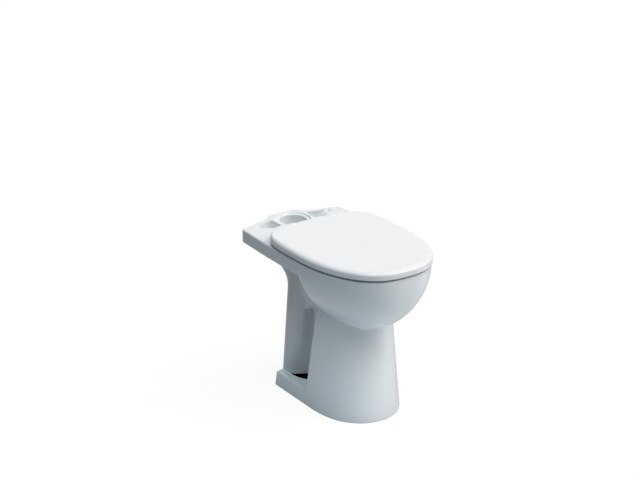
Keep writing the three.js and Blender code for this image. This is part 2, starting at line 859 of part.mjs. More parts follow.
function nut_geometry() {
  const sides = 6;
  const body = new THREE.CylinderGeometry(bush_nut_radius, bush_nut_radius, bush_nut_length, sides);
  body.rotateX(Math.PI / 2);
  body.translate(0, 0, bush_nut_length / 2);
  const inner = stud_radius + gap;
  const bore = new THREE.CylinderGeometry(inner, inner, bush_nut_length + overrun, round_steps);
  bore.rotateX(Math.PI / 2);
  return surface(cut(solid(body), bore));
}

const chamfer_share = 0.2;

function stud_geometry(length) {
  const soft = stud_radius * chamfer_share;
  return turned([
    [0, 0], [stud_radius - soft, 0], [stud_radius, soft],
    [stud_radius, length - soft], [stud_radius - soft, length], [0, length],
  ]);
}

function pin_geometry(length) {
  const soft = hinge_pin_radius * chamfer_share;
  const geometry = turned([
    [0, 0], [hinge_pin_radius - soft, 0], [hinge_pin_radius, soft],
    [hinge_pin_radius, length - soft], [hinge_pin_radius - soft, length], [0, length],
  ]);
  geometry.translate(0, 0, -length / 2);
  geometry.rotateY(Math.PI / 2);
  return geometry;
}

function liner_geometry(side) {
  const bore = hinge_pin_radius + running_gap;
  const geometry = turned([
    [bore, 0], [liner_flange_radius, 0], [liner_flange_radius, liner_flange], [liner_radius, liner_flange],
    [liner_radius, liner_flange + gap + lug_length], [bore, liner_flange + gap + lug_length],
  ]);
  geometry.rotateY((Math.PI / 2) * side);
  return geometry;
}

// The post stands on the deck and its barrel fills the notch in the lid, flush with the lid's top
function post_geometry() {
  const base_low = hinge_washer_thickness + gap + gap;
  const upright = (radius, length, low) => {
    const geometry = new THREE.CylinderGeometry(radius, radius, length, round_steps);
    geometry.rotateX(Math.PI / 2);
    geometry.translate(0, 0, low + length / 2);
    return geometry;
  };
  const crossing = (radius, length) => {
    const geometry = new THREE.CylinderGeometry(radius, radius, length, round_steps);
    geometry.rotateZ(Math.PI / 2);
    geometry.translate(0, 0, hinge_axis_rise);
    return geometry;
  };
  const top = hinge_axis_rise + post_barrel_rise;
  const envelope = new THREE.BoxGeometry(post_barrel_length, post_barrel_reach * 2, top);
  envelope.translate(0, 0, top / 2);
  const body = solid(crossing(post_barrel_radius, post_barrel_length + overrun))
    .intersect(solid(envelope))
    .add(solid(upright(post_base_radius, post_base_thickness, base_low)))
    .add(solid(upright(post_neck_radius, hinge_axis_rise - base_low, base_low)));
  return surface(cut(body,
    crossing(hinge_pin_radius + running_gap, post_barrel_length + overrun),
    upright(stud_radius + gap, stud_grip + overrun, base_low - overrun)));
}

// Finishes

const finishes = {
  china: new THREE.MeshStandardMaterial({ color: 0xf1f4f6, roughness: 0.12, metalness: 0 }),
  seat: new THREE.MeshStandardMaterial({ color: 0xf4f5f8, roughness: 0.25, metalness: 0 }),
  steel: new THREE.MeshStandardMaterial({ color: 0xb9bcbf, roughness: 0.3, metalness: 1 }),
  rubber: new THREE.MeshStandardMaterial({ color: 0xd9dcdd, roughness: 0.8, metalness: 0 }),
  black_rubber: new THREE.MeshStandardMaterial({ color: 0x222426, roughness: 0.85, metalness: 0 }),
  nylon: new THREE.MeshStandardMaterial({ color: 0xe8e9e6, roughness: 0.5, metalness: 0 }),
  brass: new THREE.MeshStandardMaterial({ color: 0xb08d3c, roughness: 0.35, metalness: 1 }),
};

function piece(name, geometry, finish, position) {
  const mesh = new THREE.Mesh(geometry, finishes[finish]);
  mesh.name = name;
  if (position) mesh.position.copy(position);
  return mesh;
}

const toilet = new THREE.Group();
toilet.add(piece('pan', pan_geometry(), 'china'));

const seat = new THREE.Group();
seat.add(piece('seat_ring', seat_geometry(), 'seat'));

const lid = new THREE.Group();
lid.add(piece('lid', lid_geometry(), 'seat'));

const bush_low = rim_height - bush_length;
const nut_low = bush_low - gap - bush_nut_length;
const stud_low = nut_low - stud_tail;
const post_low = rim_height + gap + hinge_washer_thickness + gap;
const stud_length = post_low + stud_grip - gap - stud_low;
const pin_length = (lug_offset + lug_length / 2) * 2;
const buffer_stem_in_lid = lid_wall / 2;
const end_names = ['front', 'rear'];

for (const [side, hand] of [[-1, 'left'], [1, 'right']]) {
  const x = side * hinge_spread;
  const on_deck = (z) => place(x, hinge_forward, z);
  const on_axis = (offset) => place(x + offset, hinge_forward, axis_height);
  toilet.add(
    piece(`hinge_washer_${hand}`, washer_geometry(), 'black_rubber', on_deck(rim_height + gap)),
    piece(`hinge_post_${hand}`, post_geometry(), 'seat', on_deck(rim_height)),
    piece(`hinge_stud_${hand}`, stud_geometry(stud_length), 'steel', on_deck(stud_low)),
    piece(`expansion_bush_${hand}`, bush_geometry(), 'black_rubber', on_deck(bush_low)),
    piece(`bush_nut_${hand}`, nut_geometry(), 'brass', on_deck(nut_low)),
    piece(`hinge_pin_${hand}`, pin_geometry(pin_length), 'steel', on_axis(0)),
  );
  const liner_start = post_barrel_length / 2 + gap;
  seat.add(piece(`seat_hinge_bush_${hand}`, liner_geometry(-side), 'nylon', on_axis(-side * liner_start)));
  lid.add(piece(`lid_hinge_bush_${hand}`, liner_geometry(side), 'nylon', on_axis(side * liner_start)));
  seat_buffer_places.forEach(([spread, forward], i) => {
    seat.add(piece(`seat_buffer_${end_names[i]}_${hand}`,
      buffer_geometry(buffer_radius, buffer_height - gap, buffer_stem_length), 'rubber',
      place(side * spread, forward, rim_height + gap)));
  });
  lid.add(piece(`lid_buffer_${hand}`,
    buffer_geometry(lid_buffer_radius, lid_underside - seat_top - gap - gap, buffer_stem_in_lid), 'rubber',
    place(side * lid_buffer_place[0], lid_buffer_place[1], seat_top + gap)));
}

toilet.add(seat, lid);

export default toilet;
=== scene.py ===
"""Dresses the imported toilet: a glazed pan with an open pedestal, a hinged seat and a wrap-over lid."""

import json
import math

import bmesh
import bpy
import numpy as np
from mathutils import Matrix, Vector


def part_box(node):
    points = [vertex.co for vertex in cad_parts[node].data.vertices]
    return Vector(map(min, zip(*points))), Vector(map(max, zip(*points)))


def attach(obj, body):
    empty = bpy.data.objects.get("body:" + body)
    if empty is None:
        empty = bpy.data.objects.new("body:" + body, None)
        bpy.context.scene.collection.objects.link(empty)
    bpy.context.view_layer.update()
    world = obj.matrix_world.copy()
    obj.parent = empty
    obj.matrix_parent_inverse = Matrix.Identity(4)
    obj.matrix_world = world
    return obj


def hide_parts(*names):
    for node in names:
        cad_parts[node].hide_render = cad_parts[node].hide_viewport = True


bl_info = {
    "name": "Raised Height Toilet",
    "version": (1, 0, 0),
    "blender": (4, 5, 0),
    "location": "View3D > Sidebar > Toilet",
    "description": "Builds a close-coupled toilet pan with its seat, lid, hinges and fixings",
    "category": "Add Mesh",
}

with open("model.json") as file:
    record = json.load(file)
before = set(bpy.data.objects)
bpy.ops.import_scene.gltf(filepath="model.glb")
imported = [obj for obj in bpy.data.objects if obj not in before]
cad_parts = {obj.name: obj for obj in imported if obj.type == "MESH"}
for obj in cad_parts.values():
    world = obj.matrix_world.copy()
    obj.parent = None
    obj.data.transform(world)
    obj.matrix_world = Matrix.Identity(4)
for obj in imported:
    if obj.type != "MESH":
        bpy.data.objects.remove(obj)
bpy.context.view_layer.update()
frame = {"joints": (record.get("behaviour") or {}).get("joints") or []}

# Frame places: forward is measured from the lid's rear edge towards the front of the bowl
LID_LOW, LID_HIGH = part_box("lid")
DATUM = LID_HIGH.y
RIM_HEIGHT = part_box("pan")[1].z
HINGE = Vector(frame["joints"][0]["pos_m"])
HINGE_FORWARD = DATUM - HINGE.y
SIDES = ((-1, "left"), (1, "right"))

# Shapes of the plans: powers of their ovals
LID_FRONT_POWERS = (2.58, 2.03)
LID_REAR_POWERS = (3.63, 5.22)
PEDESTAL_FRONT_POWERS = (2.04, 2.65)
BOWL_REAR_POWERS = (1.5, 1.5)
MOUTH_FRONT_POWERS = (2.3, 2.1)
MOUTH_REAR_POWERS = (2.0, 2.0)
INSIDE_REAR_POWERS = (1.5, 1.5)
ROUND_POWERS = (2.0, 2.0)
SOFT_ROUND_POWERS = (2.2, 2.2)
WEB_POWERS = (6.0, 6.0)

# Steps along half an outline, along half of a fine one, and round a turned solid
PLAN_STEPS = 72
FINE_STEPS = 96
ROUND_STEPS = 48

# Pan sizes
RIM_HALF_WIDTH = 0.176
RIM_FRONT = 0.4515
WIDEST = 0.204
BAND_DEPTH = 0.039
BAND_BOTTOM = RIM_HEIGHT - BAND_DEPTH
DECK_CORNER_HALF_WIDTH = 0.167
DECK_CORNER_REACH = 0.098
DECK_CORNER_RADIUS = 0.007
DECK_CORNER_TURN = 0.4 * math.pi
DECK_EDGE_RADIUS = 0.004
INSIDE_DECK = BAND_BOTTOM + DECK_EDGE_RADIUS
RIM_EDGE_SHARE = 0.35
TAIL_REACH = 0.149
TAIL_HALF_WIDTH = 0.060
TAIL_SHOULDER = 0.131
SIDE_FADE_START = 0.110
BOWL_SIDE_DROP = 0.2036
BOWL_FRONT_DROP = 0.214
BOWL_REAR_DROP = 0.200
BOWL_REAR_REACH = 0.140
BOWL_BOTTOM = 0.254
BOWL_SIDE_POWER = 1.75
BOWL_FRONT_POWER = 2.13
BOWL_REAR_POWER = 1.8
BOWL_LEVEL_POWER = 1.6
PEDESTAL_FOOT_HALF_WIDTH = 0.125
PEDESTAL_NECK_HALF_WIDTH = 0.119
PEDESTAL_WIDEST = 0.170
PEDESTAL_FOOT_FRONT = 0.356
PEDESTAL_NECK_FRONT = 0.296
PEDESTAL_NECK_HEIGHT = 0.320
PEDESTAL_TOP = 0.345
PEDESTAL_WALL = 0.013
PLINTH_HEIGHT = 0.044
PLINTH_REAR = 0.0
PLINTH_REAR_LEAN = 0.008
PLINTH_REAR_BOW = 0.014
PLINTH_CORNER_RADIUS = 0.005
PLINTH_PLATE = 0.014
PLINTH_WALL = 0.012
EDGE_FOOT = 0.166
EDGE_NECK = 0.205
EDGE_FILLET = 0.042
# The plinth's opening for the leg: half width, shoulder and front
FOOT_OPENING = (0.096, 0.045, 0.132)
SCREW_SPREAD = 0.106
SCREW_PLACES = (0.040, 0.117)
SCREW_RADIUS = 0.0035
TRAP_BORE = 0.036
TRAP_WALL = 0.010
TRAP_BEND = 0.054
TRAP_INLET = 0.208
TRAP_DIP = 0.208
TRAP_WEIR = 0.222
# Where the waterway turns down into the leg: forward and height
TRAP_DROP = (-0.004, 0.150)
# The leg's foot and neck: half width, middle and half depth
LEG_FOOT_HEIGHT = 0.017
LEG_FOOT = (0.073, -0.023, 0.053)
LEG_NECK_HEIGHT = 0.285
LEG_NECK = (0.066, -0.005, 0.050)
LEG_FLARE_RADIUS = 0.095
LEG_FLARE_HEIGHT = 0.078
FLARE_SIDE_SHARE = 0.57
FLARE_FRONT_DEPTH = 0.030
WEB_FRONT = 0.160
WEB_START = 0.230
WEB_FRONT_SHARE = 0.3
WEB_HALF_WIDTH = 0.057
WEB_FOOT_HALF_WIDTH = 0.044
WEB_FULL_HEIGHT = 0.315
OUTLET_BORE = 0.044
# The bowl's mouth: half width, front and rear
RIM_OPENING = (0.122, 0.398, 0.104)
RIM_LIP = 0.009
RIM_LIP_DEPTH = 0.042
RIM_TOP_WALL = 0.014
BOWL_WALL = 0.014
INSIDE_REAR = 0.080
INSIDE_OPENING_POWER = 2.2
INSIDE_LEVEL_POWER = 1.5
SUMP_HEIGHT = 0.250
INLET_CENTRE = -0.088
INLET_RADIUS = 0.039
INLET_STEP_RADIUS = 0.050
INLET_STEP_DEPTH = 0.004
INLET_FLOOR = 0.404
INLET_BOSS_WALL = 0.011
# The duct from the inlet to the rim: half width, floor and ceiling
DUCT = (0.030, 0.414, 0.440)
# The recesses for the cistern's bolts: deep and shallow end, then from inside out and front to back
POCKET_DEPTHS = (0.030, 0.005)
POCKET_ACROSS = (0.054, 0.132)
POCKET_ALONG = (0.056, 0.112)
# Each bolt's hole: spread, reach and radius, then the radius and height of the way to its nut
CISTERN_BOLT = (0.064, 0.086, 0.006)
CISTERN_NUT = (0.014, 0.402)
# Each blind hole for the seat's fixings: radius and depth
FIXING_HOLE = (0.0075, 0.034)

# Outlines as shares of their own width and depth
TAIL_OUTLINE_SHARES = (
    (1.12, -0.16),
    (1.0, 0.06),
    (0.9, 0.42),
    (0.8, 0.76),
    (0.66, 0.93),
    (0.45, 0.99),
    (0.22, 1.0),
    (0.0, 1.0),
)
POCKET_OUTLINE_SHARES = (
    (0.02, 0.14),
    (0.2, 0.0),
    (0.42, 0.0),
    (0.72, 0.26),
    (0.96, 0.52),
    (0.96, 0.64),
    (0.55, 0.82),
    (0.12, 1.0),
    (0.04, 0.93),
    (0.07, 0.55),
)
POCKET_LEVEL_SHARES = (0.02, 0.3, 0.6, 0.94)
POCKET_SLOPE = (0.3, 0.8)

# Seat and lid sizes
LID_HALF_WIDTH = 0.178
LID_LENGTH = 0.455
SEAT_BOTTOM = LID_LOW.z
SEAT_TOP = SEAT_BOTTOM + 0.0125
LID_TOP = RIM_HEIGHT + 0.0275
LID_WALL = 0.0035
LID_SKIRT = 0.004
LID_EDGE_REACH = 0.016
LID_EDGE_DROP = 0.009
LID_REAR_EDGE_SHARE = 0.5
NOTCH_SLACK = 0.0005
LID_STEM_DEPTH = LID_WALL / 2
EYE_WEB_TOP = LID_TOP - LID_WALL * 3 / 4
SEAT_MARGIN = 0.0065
SEAT_REAR = 0.033
# Half width, front and rear
SEAT_OPENING = (0.107, 0.372, 0.112)
SEAT_EDGE_ROUND = 0.004
SEAT_INNER_ROUND = 0.006
SEAT_INNER_FOOT_ROUND = 0.0018
SEAT_DISH = 0.0022
SEAT_DISH_START = 0.4
SEAT_LEVEL_SHARES = (0.15, 0.3, 0.45, 0.6, 0.75, 0.88)
SEAT_ARM_DEPTH = 0.0061
SEAT_STEM_DEPTH = 0.0053
FOOT_ROUND = 0.0012
INNER_FILLET = 0.0035
INWARD_SHARES = (0.02, 0.1, 0.25, 0.4, 0.55, 0.68, 0.8, 0.9, 0.96)

# Hinge and fixing sizes
HINGE_SPREAD = 0.066
LUG_RADIUS = 0.0056
LUG_LENGTH = 0.014
EYE_BORE = 0.0042
PIN_BORE = 0.00275
PIN_ROUND = 0.0006
STUD_BORE = 0.0033
STUD_DEPTH = 0.0065
BARREL_RADIUS = 0.012
BARREL_ROUND = 0.0008
# Radii of the post's base and neck, with the base's height and the neck's start
POST_BASE = (0.0105, 0.003)
POST_NECK = (0.008, 0.001)
POST_ROUND = 0.0006
WASHER_ROUND = 0.0003
BUFFER_ROUND = 0.0016
# Share of the radius and rise
BUFFER_CROWN = (0.5, 0.00005)
BUFFER_CHAMFER = 0.0004
BUFFER_STEM = 0.003
STEM_HOLE = 0.0033
STEM_TIP = 0.0005
EYE_BUSH_WALL = 0.0012
# Radius and thickness
EYE_BUSH_FLANGE = (0.0044, 0.0008)
EYE_BUSH_ROUND = 0.0002
EYE_BUSH_CHAMFER = 0.0004
NUT_CHAMFER = 0.0009
NUT_CHAMFER_SHARE = 0.985
THREAD_DEPTH = 0.0003
RIB_SIZE = 0.0009
RIB_MARGIN = 3 * RIB_SIZE

# How far a cutting solid runs past what it cuts, and a hair's breadth
OVERRUN = 0.020
TINY = 0.0003

# Angles in degrees past which an edge shows as a crease
MOULDED_CREASE = 40
TURNED_CREASE = 35
NUT_CREASE = 25
THREAD_CREASE = 50

# Where along a pattern a tint starts and ends
TINT_BAND = (0.35, 0.65)

# The photo's camera
CAMERA_PLACE = (-2.3627, -3.3401, 2.0684)
CAMERA_TILT = 21.38
CAMERA_HEADING = 34.45
SENSOR_WIDTH = 36.0

# The floor, with a painted shadow: the oval under the leg where the floor's colour and glow are painted
# black
FLOOR_HALF = 30.0
PAINTED_SHADOW_MIDDLE = 0.010
PAINTED_SHADOW_HALF = (0.071, 0.080)
PAINTED_SHADOW_FADE = (0.95, 1.05)

# How much of the bright background shows in reflections
REFLECTED_SHARE = 0.5

# Soft lights of the sky: heading and height in degrees, how far they spread, and their level
SKY_LOBES = (
    (-34.5, 45.0, 35.0, (3.63, 3.39, 3.25)),
    (-79.5, 68.0, 25.0, (1.38, 1.06, 0.73)),
    (-124.5, 68.0, 25.0, (3.18, 3.37, 3.47)),
    (-169.5, 68.0, 25.0, (0.61, 1.11, 1.38)),
    (0.0, 90.0, 45.0, (0.27, 0.31, 0.33)),
    (55.5, 12.0, 35.0, (0.79, 0.69, 0.61)),
)
LOBE_CORE = 4.0

# Pools of light on the floor: place, reach and level
FLOOR_POOLS = (
    ((0.825, -0.566), 0.8, (1.35, 1.53, 1.64)),
    ((0.183, -0.983), 0.8, (0.82, 0.80, 0.78)),
    ((-0.566, -0.825), 0.8, (0.31, 0.48, 0.55)),
    ((0.082, -0.442), 0.45, (0.40, 0.42, 0.46)),
    ((-0.255, -0.371), 0.45, (0.31, 0.40, 0.45)),
    ((-0.442, -0.082), 0.45, (0.33, 0.34, 0.35)),
    ((-0.371, 0.255), 0.45, (0.24, 0.30, 0.33)),
)
POOL_CORE = 0.1


# Plans and skins


def smooth(value):
    t = np.clip(value, 0.0, 1.0)
    return t * t * (3 - 2 * t)


def quarter(drop, depth, power):
    share = min(max(drop / depth, 0.0), 1.0)
    return max(1 - share**power, 0.0) ** (1 / power)


def half_oval(half_width, middle, end, powers, steps):
    angle = np.pi * (1 - np.arange(steps + 1) / steps)
    across = np.cos(angle)
    along = np.abs(np.sin(angle)) ** (2 / powers[1])
    x = half_width * np.sign(across) * np.abs(across) ** (2 / powers[0])
    return np.column_stack((x, middle + (end - middle) * along))


def oval(half_width, middle, front, rear, front_powers, rear_powers, steps=PLAN_STEPS):
    ahead = half_oval(half_width, middle, front, front_powers, steps)
    behind = half_oval(half_width, middle, rear, rear_powers, steps)[::-1]
    return np.vstack((ahead, behind[1:-1]))


def inset(points, distance):
    chord = np.roll(points, -1, 0) - np.roll(points, 1, 0)
    length = np.hypot(chord[:, 0], chord[:, 1])
    normal = np.column_stack((chord[:, 1], -chord[:, 0])) / length[:, None]
    return points + normal * np.reshape(distance, (-1, 1))


def stacked(x, y, z):
    """Points from their coordinates, some of which may be one number for all."""
    return np.column_stack(np.broadcast_arrays(x, y, z))


def ring(points, z):
    return stacked(points[:, 0], DATUM - points[:, 1], z)


def mesh_object(name, vertices, faces):
    mesh = bpy.data.meshes.new(name)
    mesh.from_pydata([tuple(v) for v in vertices], [], faces)
    mesh.validate()
    obj = bpy.data.objects.new(name, mesh)
    bpy.context.scene.collection.objects.link(obj)
    return obj


def loft(name, rings, closed_loop=False):
    """A skin through rings of equal length: it ends in two poles, or its last ring meets its first."""
    count = len(rings[0])
    vertices = np.vstack(rings)
    spans = len(rings) if closed_loop else len(rings) - 1
    faces = []
    for level in range(spans):
        start = level * count
        following = (level + 1) % len(rings) * count
        for i in range(count):
            j = (i + 1) % count
            faces.append((start + i, start + j, following + j, following + i))
    if not closed_loop:
        vertices = np.vstack((vertices, rings[0].mean(0), rings[-1].mean(0)))
        last = (len(rings) - 1) * count
        for i in range(count):
            j = (i + 1) % count
            faces.append((len(vertices) - 2, j, i))
            faces.append((len(vertices) - 1, last + i, last + j))
    return mesh_object(name, vertices, faces)


def cleaned(obj):
    """Merges the doubles at poles and turns every face outwards."""
    work = bmesh.new()
    work.from_mesh(obj.data)
    bmesh.ops.remove_doubles(work, verts=work.verts, dist=1e-6)
    bmesh.ops.dissolve_degenerate(work, edges=work.edges, dist=1e-7)
    bmesh.ops.recalc_face_normals(work, faces=work.faces)
    work.to_mesh(obj.data)
    work.free()
    return obj


def prism(name, points, low, high):
    return loft(name, [ring(points, low), ring(points, high)])


def block(name, low, high):
    x0, y0, z0 = np.minimum(low, high)
    x1, y1, z1 = np.maximum(low, high)
    return loft(name, [stacked((x0, x1, x1, x0), (y0, y0, y1, y1), z) for z in (z0, z1)])


def place(x, forward, z):
    return (x, DATUM - forward, z)


def circle(radius, steps=ROUND_STEPS):
    angle = 2 * np.pi * np.arange(steps) / steps
    return radius * np.cos(angle), radius * np.sin(angle)


def disc(name, radius, x, forward, low, high):
    """An upright round solid."""
    across, along = circle(radius)
    return loft(name, [stacked(x + across, DATUM - forward + along, z) for z in (low, high)])


def axle(name, radius, start, end):
    """A round solid along the hinges' axis."""
    across, up = circle(radius)
    y, z = DATUM - HINGE_FORWARD + across, HINGE.z + up
    return loft(name, [stacked(x, y, z) for x in (start, end)])


def lathe(name, profile):
    """A closed profile of (radius, height) turned about Z."""
    across, along = circle(1.0)
    rings = [stacked(radius * across, radius * along, height) for radius, height in profile]
    return cleaned(loft(name, rings, closed_loop=True))


def edge_arc(radius, steps=6):
    """Pairs of inset and drop that round an edge."""
    angle = (np.pi / 2) * np.arange(steps + 1) / steps
    return [(radius * (1 - math.cos(a)), radius * (1 - math.sin(a))) for a in angle]


def rounded_profile(radius, low, high, rounding):
    """Profile of a short round body whose outer edges are rounded, from the axis out and back."""
    arc = edge_arc(rounding, 3)
    lower = [(radius - drop, low + shift) for shift, drop in arc]
    upper = [(radius - shift, high - drop) for shift, drop in arc]
    return [(0.0, low), *lower, *upper, (0.0, high)]


def shifted(obj, x, y, z):
    obj.data.transform(Matrix.Translation((x, y, z)))
    return obj


def box_of(node):
    """The low corner, the high corner and the centre of a CAD node's box."""
    low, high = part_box(node)
    return low, high, (low + high) / 2


def boolean(base, tools, operation):
    for tool in tools:
        modifier = base.modifiers.new(operation.lower(), "BOOLEAN")
        modifier.operation = operation
        modifier.solver = "MANIFOLD"
        modifier.object = tool
    bake_modifiers(base)
    for tool in tools:
        bpy.data.objects.remove(tool, do_unlink=True)
    return base


def bake_modifiers(obj):
    """Applies every modifier by taking the evaluated mesh."""
    graph = bpy.context.evaluated_depsgraph_get()
    graph.update()
    mesh = bpy.data.meshes.new_from_object(obj.evaluated_get(graph), depsgraph=graph)
    obj.modifiers.clear()
    old = obj.data
    obj.data = mesh
    bpy.data.meshes.remove(old)
    return obj


def shade(obj, angle=None):
    obj.data.polygons.foreach_set("use_smooth", [True] * len(obj.data.polygons))
    if angle is not None:
        obj.data.set_sharp_from_angle(angle=math.radians(angle))
    return obj


# Pan


def bowl_half_width(z):
    return RIM_HALF_WIDTH * quarter(RIM_HEIGHT - z, BOWL_SIDE_DROP, BOWL_SIDE_POWER)


def bowl_front(z):
    return WIDEST + (RIM_FRONT - WIDEST) * quarter(RIM_HEIGHT - z, BOWL_FRONT_DROP, BOWL_FRONT_POWER)


def bowl_rear(z):
    return WIDEST - BOWL_REAR_REACH * quarter(RIM_HEIGHT - z, BOWL_REAR_DROP, BOWL_REAR_POWER)


def rounded_through(points, steps=5):
    """A smooth line through the points, with its ends kept."""
    points = np.asarray(points, float)
    padded = np.vstack((2 * points[0] - points[1], points, 2 * points[-1] - points[-2]))
    line = []
    for i in range(1, len(padded) - 2):
        a, b, c, d = padded[i - 1 : i + 3]
        for t in np.arange(steps) / steps:
            square = (2 * a - 5 * b + 4 * c - d) * t**2
            cube = (3 * b - a - 3 * c + d) * t**3
            line.append(0.5 * (2 * b + (c - a) * t + square + cube))
    line.append(points[-1])
    return np.array(line)


def deck_half():
    """The right edge of the deck, from the widest place of the rim back to the middle of the tail."""
    radius = DECK_CORNER_RADIUS
    centre = np.array([DECK_CORNER_HALF_WIDTH - radius, radius - DECK_CORNER_REACH])
    t = 1 - np.arange(1, 25) / 24
    spread = (RIM_HALF_WIDTH - DECK_CORNER_HALF_WIDTH) * (1 - (1 - t) ** 2)
    side = np.column_stack((DECK_CORNER_HALF_WIDTH + spread, centre[1] + (WIDEST - centre[1]) * t))
    angle = -DECK_CORNER_TURN * np.arange(1, 13) / 12
    corner = centre + radius * np.column_stack((np.cos(angle), np.sin(angle)))
    across, along = np.array(TAIL_OUTLINE_SHARES).T
    along = TAIL_SHOULDER + (TAIL_REACH - TAIL_SHOULDER) * along
    tail = rounded_through(np.column_stack((TAIL_HALF_WIDTH * across, -along)))
    return np.vstack((side, corner, tail))


def rearness(points):
    return 1 - smooth((points[:, 1] - SIDE_FADE_START) / (WIDEST - SIDE_FADE_START))


def deck_plan(z):
    front = half_oval(bowl_half_width(z), WIDEST, bowl_front(z), LID_FRONT_POWERS, PLAN_STEPS)
    right = deck_half()
    narrowing = RIM_HALF_WIDTH - bowl_half_width(z)
    right[:, 0] -= narrowing * (1 - rearness(right))
    left = right[::-1][1:] * (-1, 1)
    return np.vstack((front, right, left))


def deck_skin():
    rings = []
    for shift, rise in reversed(edge_arc(DECK_EDGE_RADIUS)):
        plan = deck_plan(BAND_BOTTOM + rise)
        rings.append(ring(inset(plan, shift * rearness(plan)), BAND_BOTTOM + rise))
    high = RIM_HEIGHT - DECK_EDGE_RADIUS
    for share in (0.25, 0.5, 0.75):
        z = INSIDE_DECK + (high - INSIDE_DECK) * share
        rings.append(ring(deck_plan(z), z))
    for shift, drop in edge_arc(DECK_EDGE_RADIUS):
        plan = deck_plan(RIM_HEIGHT - drop)
        softness = RIM_EDGE_SHARE + (1 - RIM_EDGE_SHARE) * rearness(plan)
        rings.append(ring(inset(plan, shift * softness), RIM_HEIGHT - drop))
    return loft("deck_skin", rings)


def bowl_skin():
    rings = []
    for share in np.linspace(0, 1, 40) ** BOWL_LEVEL_POWER:
        z = BOWL_BOTTOM + (BAND_BOTTOM - BOWL_BOTTOM) * share
        half, front, rear = bowl_half_width(z), bowl_front(z), bowl_rear(z)
        plan = oval(half, WIDEST, front, rear, LID_FRONT_POWERS, BOWL_REAR_POWERS)
        rings.append(ring(plan, z))
    rings.append(ring(inset(plan, DECK_EDGE_RADIUS), INSIDE_DECK))
    return loft("bowl_skin", rings)


def pedestal_plan(z, wall):
    t = z / PEDESTAL_NECK_HEIGHT
    narrowing = PEDESTAL_NECK_HALF_WIDTH - PEDESTAL_FOOT_HALF_WIDTH
    half_width = PEDESTAL_FOOT_HALF_WIDTH + narrowing * t - wall
    front = PEDESTAL_FOOT_FRONT + (PEDESTAL_NECK_FRONT - PEDESTAL_FOOT_FRONT) * t - wall
    nose = half_oval(half_width, PEDESTAL_WIDEST, front, PEDESTAL_FRONT_POWERS, PLAN_STEPS)
    rear = PLINTH_REAR + PLINTH_REAR_LEAN * z / PLINTH_HEIGHT + wall
    angle = -(np.pi / 2) * np.arange(11) / 10
    across = half_width - PLINTH_CORNER_RADIUS * (1 - np.cos(angle))
    along = rear + PLINTH_CORNER_RADIUS * (1 + np.sin(angle))
    corner = np.column_stack((across, along))
    x = np.linspace(corner[-1, 0], 0, 12)[1:]
    bow = np.column_stack((x, rear - PLINTH_REAR_BOW * (1 - (x / corner[-1, 0]) ** 2)))
    right = np.vstack((corner, bow))
    left = right[::-1][1:] * (-1, 1)
    return np.vstack((nose, right, left))


def window_cutter():
    """What is cut away behind the pedestal's sloping rear edge, above the plinth."""
    fillet = EDGE_FILLET
    lean = (EDGE_NECK - EDGE_FOOT) / (PEDESTAL_NECK_HEIGHT - PLINTH_HEIGHT - fillet)
    high = RIM_HEIGHT + OVERRUN
    edge_low = PLINTH_HEIGHT + fillet
    start = np.array([EDGE_FOOT - fillet, PLINTH_HEIGHT])
    control = np.array([EDGE_FOOT - lean * fillet / 2, PLINTH_HEIGHT])
    end = np.array([EDGE_FOOT, edge_low])
    t = np.linspace(0, 1, 16)[:, None]
    bend = start * (1 - t) ** 2 + control * 2 * t * (1 - t) + end * t**2
    far = -TAIL_REACH - OVERRUN
    head = [[EDGE_FOOT + lean * (high - edge_low), high], [far, high]]
    forward, height = np.vstack(([[far, PLINTH_HEIGHT]], bend, head)).T
    half = PEDESTAL_FOOT_HALF_WIDTH + OVERRUN
    return cleaned(loft("window_cutter", [stacked(x, DATUM - forward, height) for x in (-half, half)]))


def pedestal_skin():
    levels = np.linspace(0, PEDESTAL_TOP, 12)
    body = loft("pedestal_skin", [ring(pedestal_plan(z, 0), z) for z in levels])
    inner_levels = (PLINTH_HEIGHT, PEDESTAL_TOP / 2, PEDESTAL_TOP + OVERRUN)
    inner = loft("pedestal_inner", [ring(pedestal_plan(z, PEDESTAL_WALL), z) for z in inner_levels])
    under = prism("plinth_under", pedestal_plan(0, PLINTH_WALL), -OVERRUN, PLINTH_HEIGHT - PLINTH_PLATE)
    half, shoulder, front = FOOT_OPENING
    nose = half_oval(half, shoulder, front, SOFT_ROUND_POWERS, ROUND_STEPS)
    hole = np.vstack((nose, [[half, -TAIL_REACH], [-half, -TAIL_REACH]]))
    opening = prism("foot_opening", hole, -OVERRUN, PLINTH_HEIGHT + TINY)
    return boolean(body, [inner, under, opening, window_cutter()], "DIFFERENCE")


def leg_plan(z):
    t = min((z - LEG_FOOT_HEIGHT) / (LEG_NECK_HEIGHT - LEG_FOOT_HEIGHT), 1.0)
    half_width, centre, half_depth = (a + (b - a) * t for a, b in zip(LEG_FOOT, LEG_NECK))
    return oval(half_width, centre, centre + half_depth, centre - half_depth, ROUND_POWERS, ROUND_POWERS)


def leg_skin():
    levels = np.append(np.linspace(LEG_FOOT_HEIGHT, LEG_NECK_HEIGHT, 24), INSIDE_DECK)
    return loft("leg_skin", [ring(leg_plan(z), z) for z in levels])


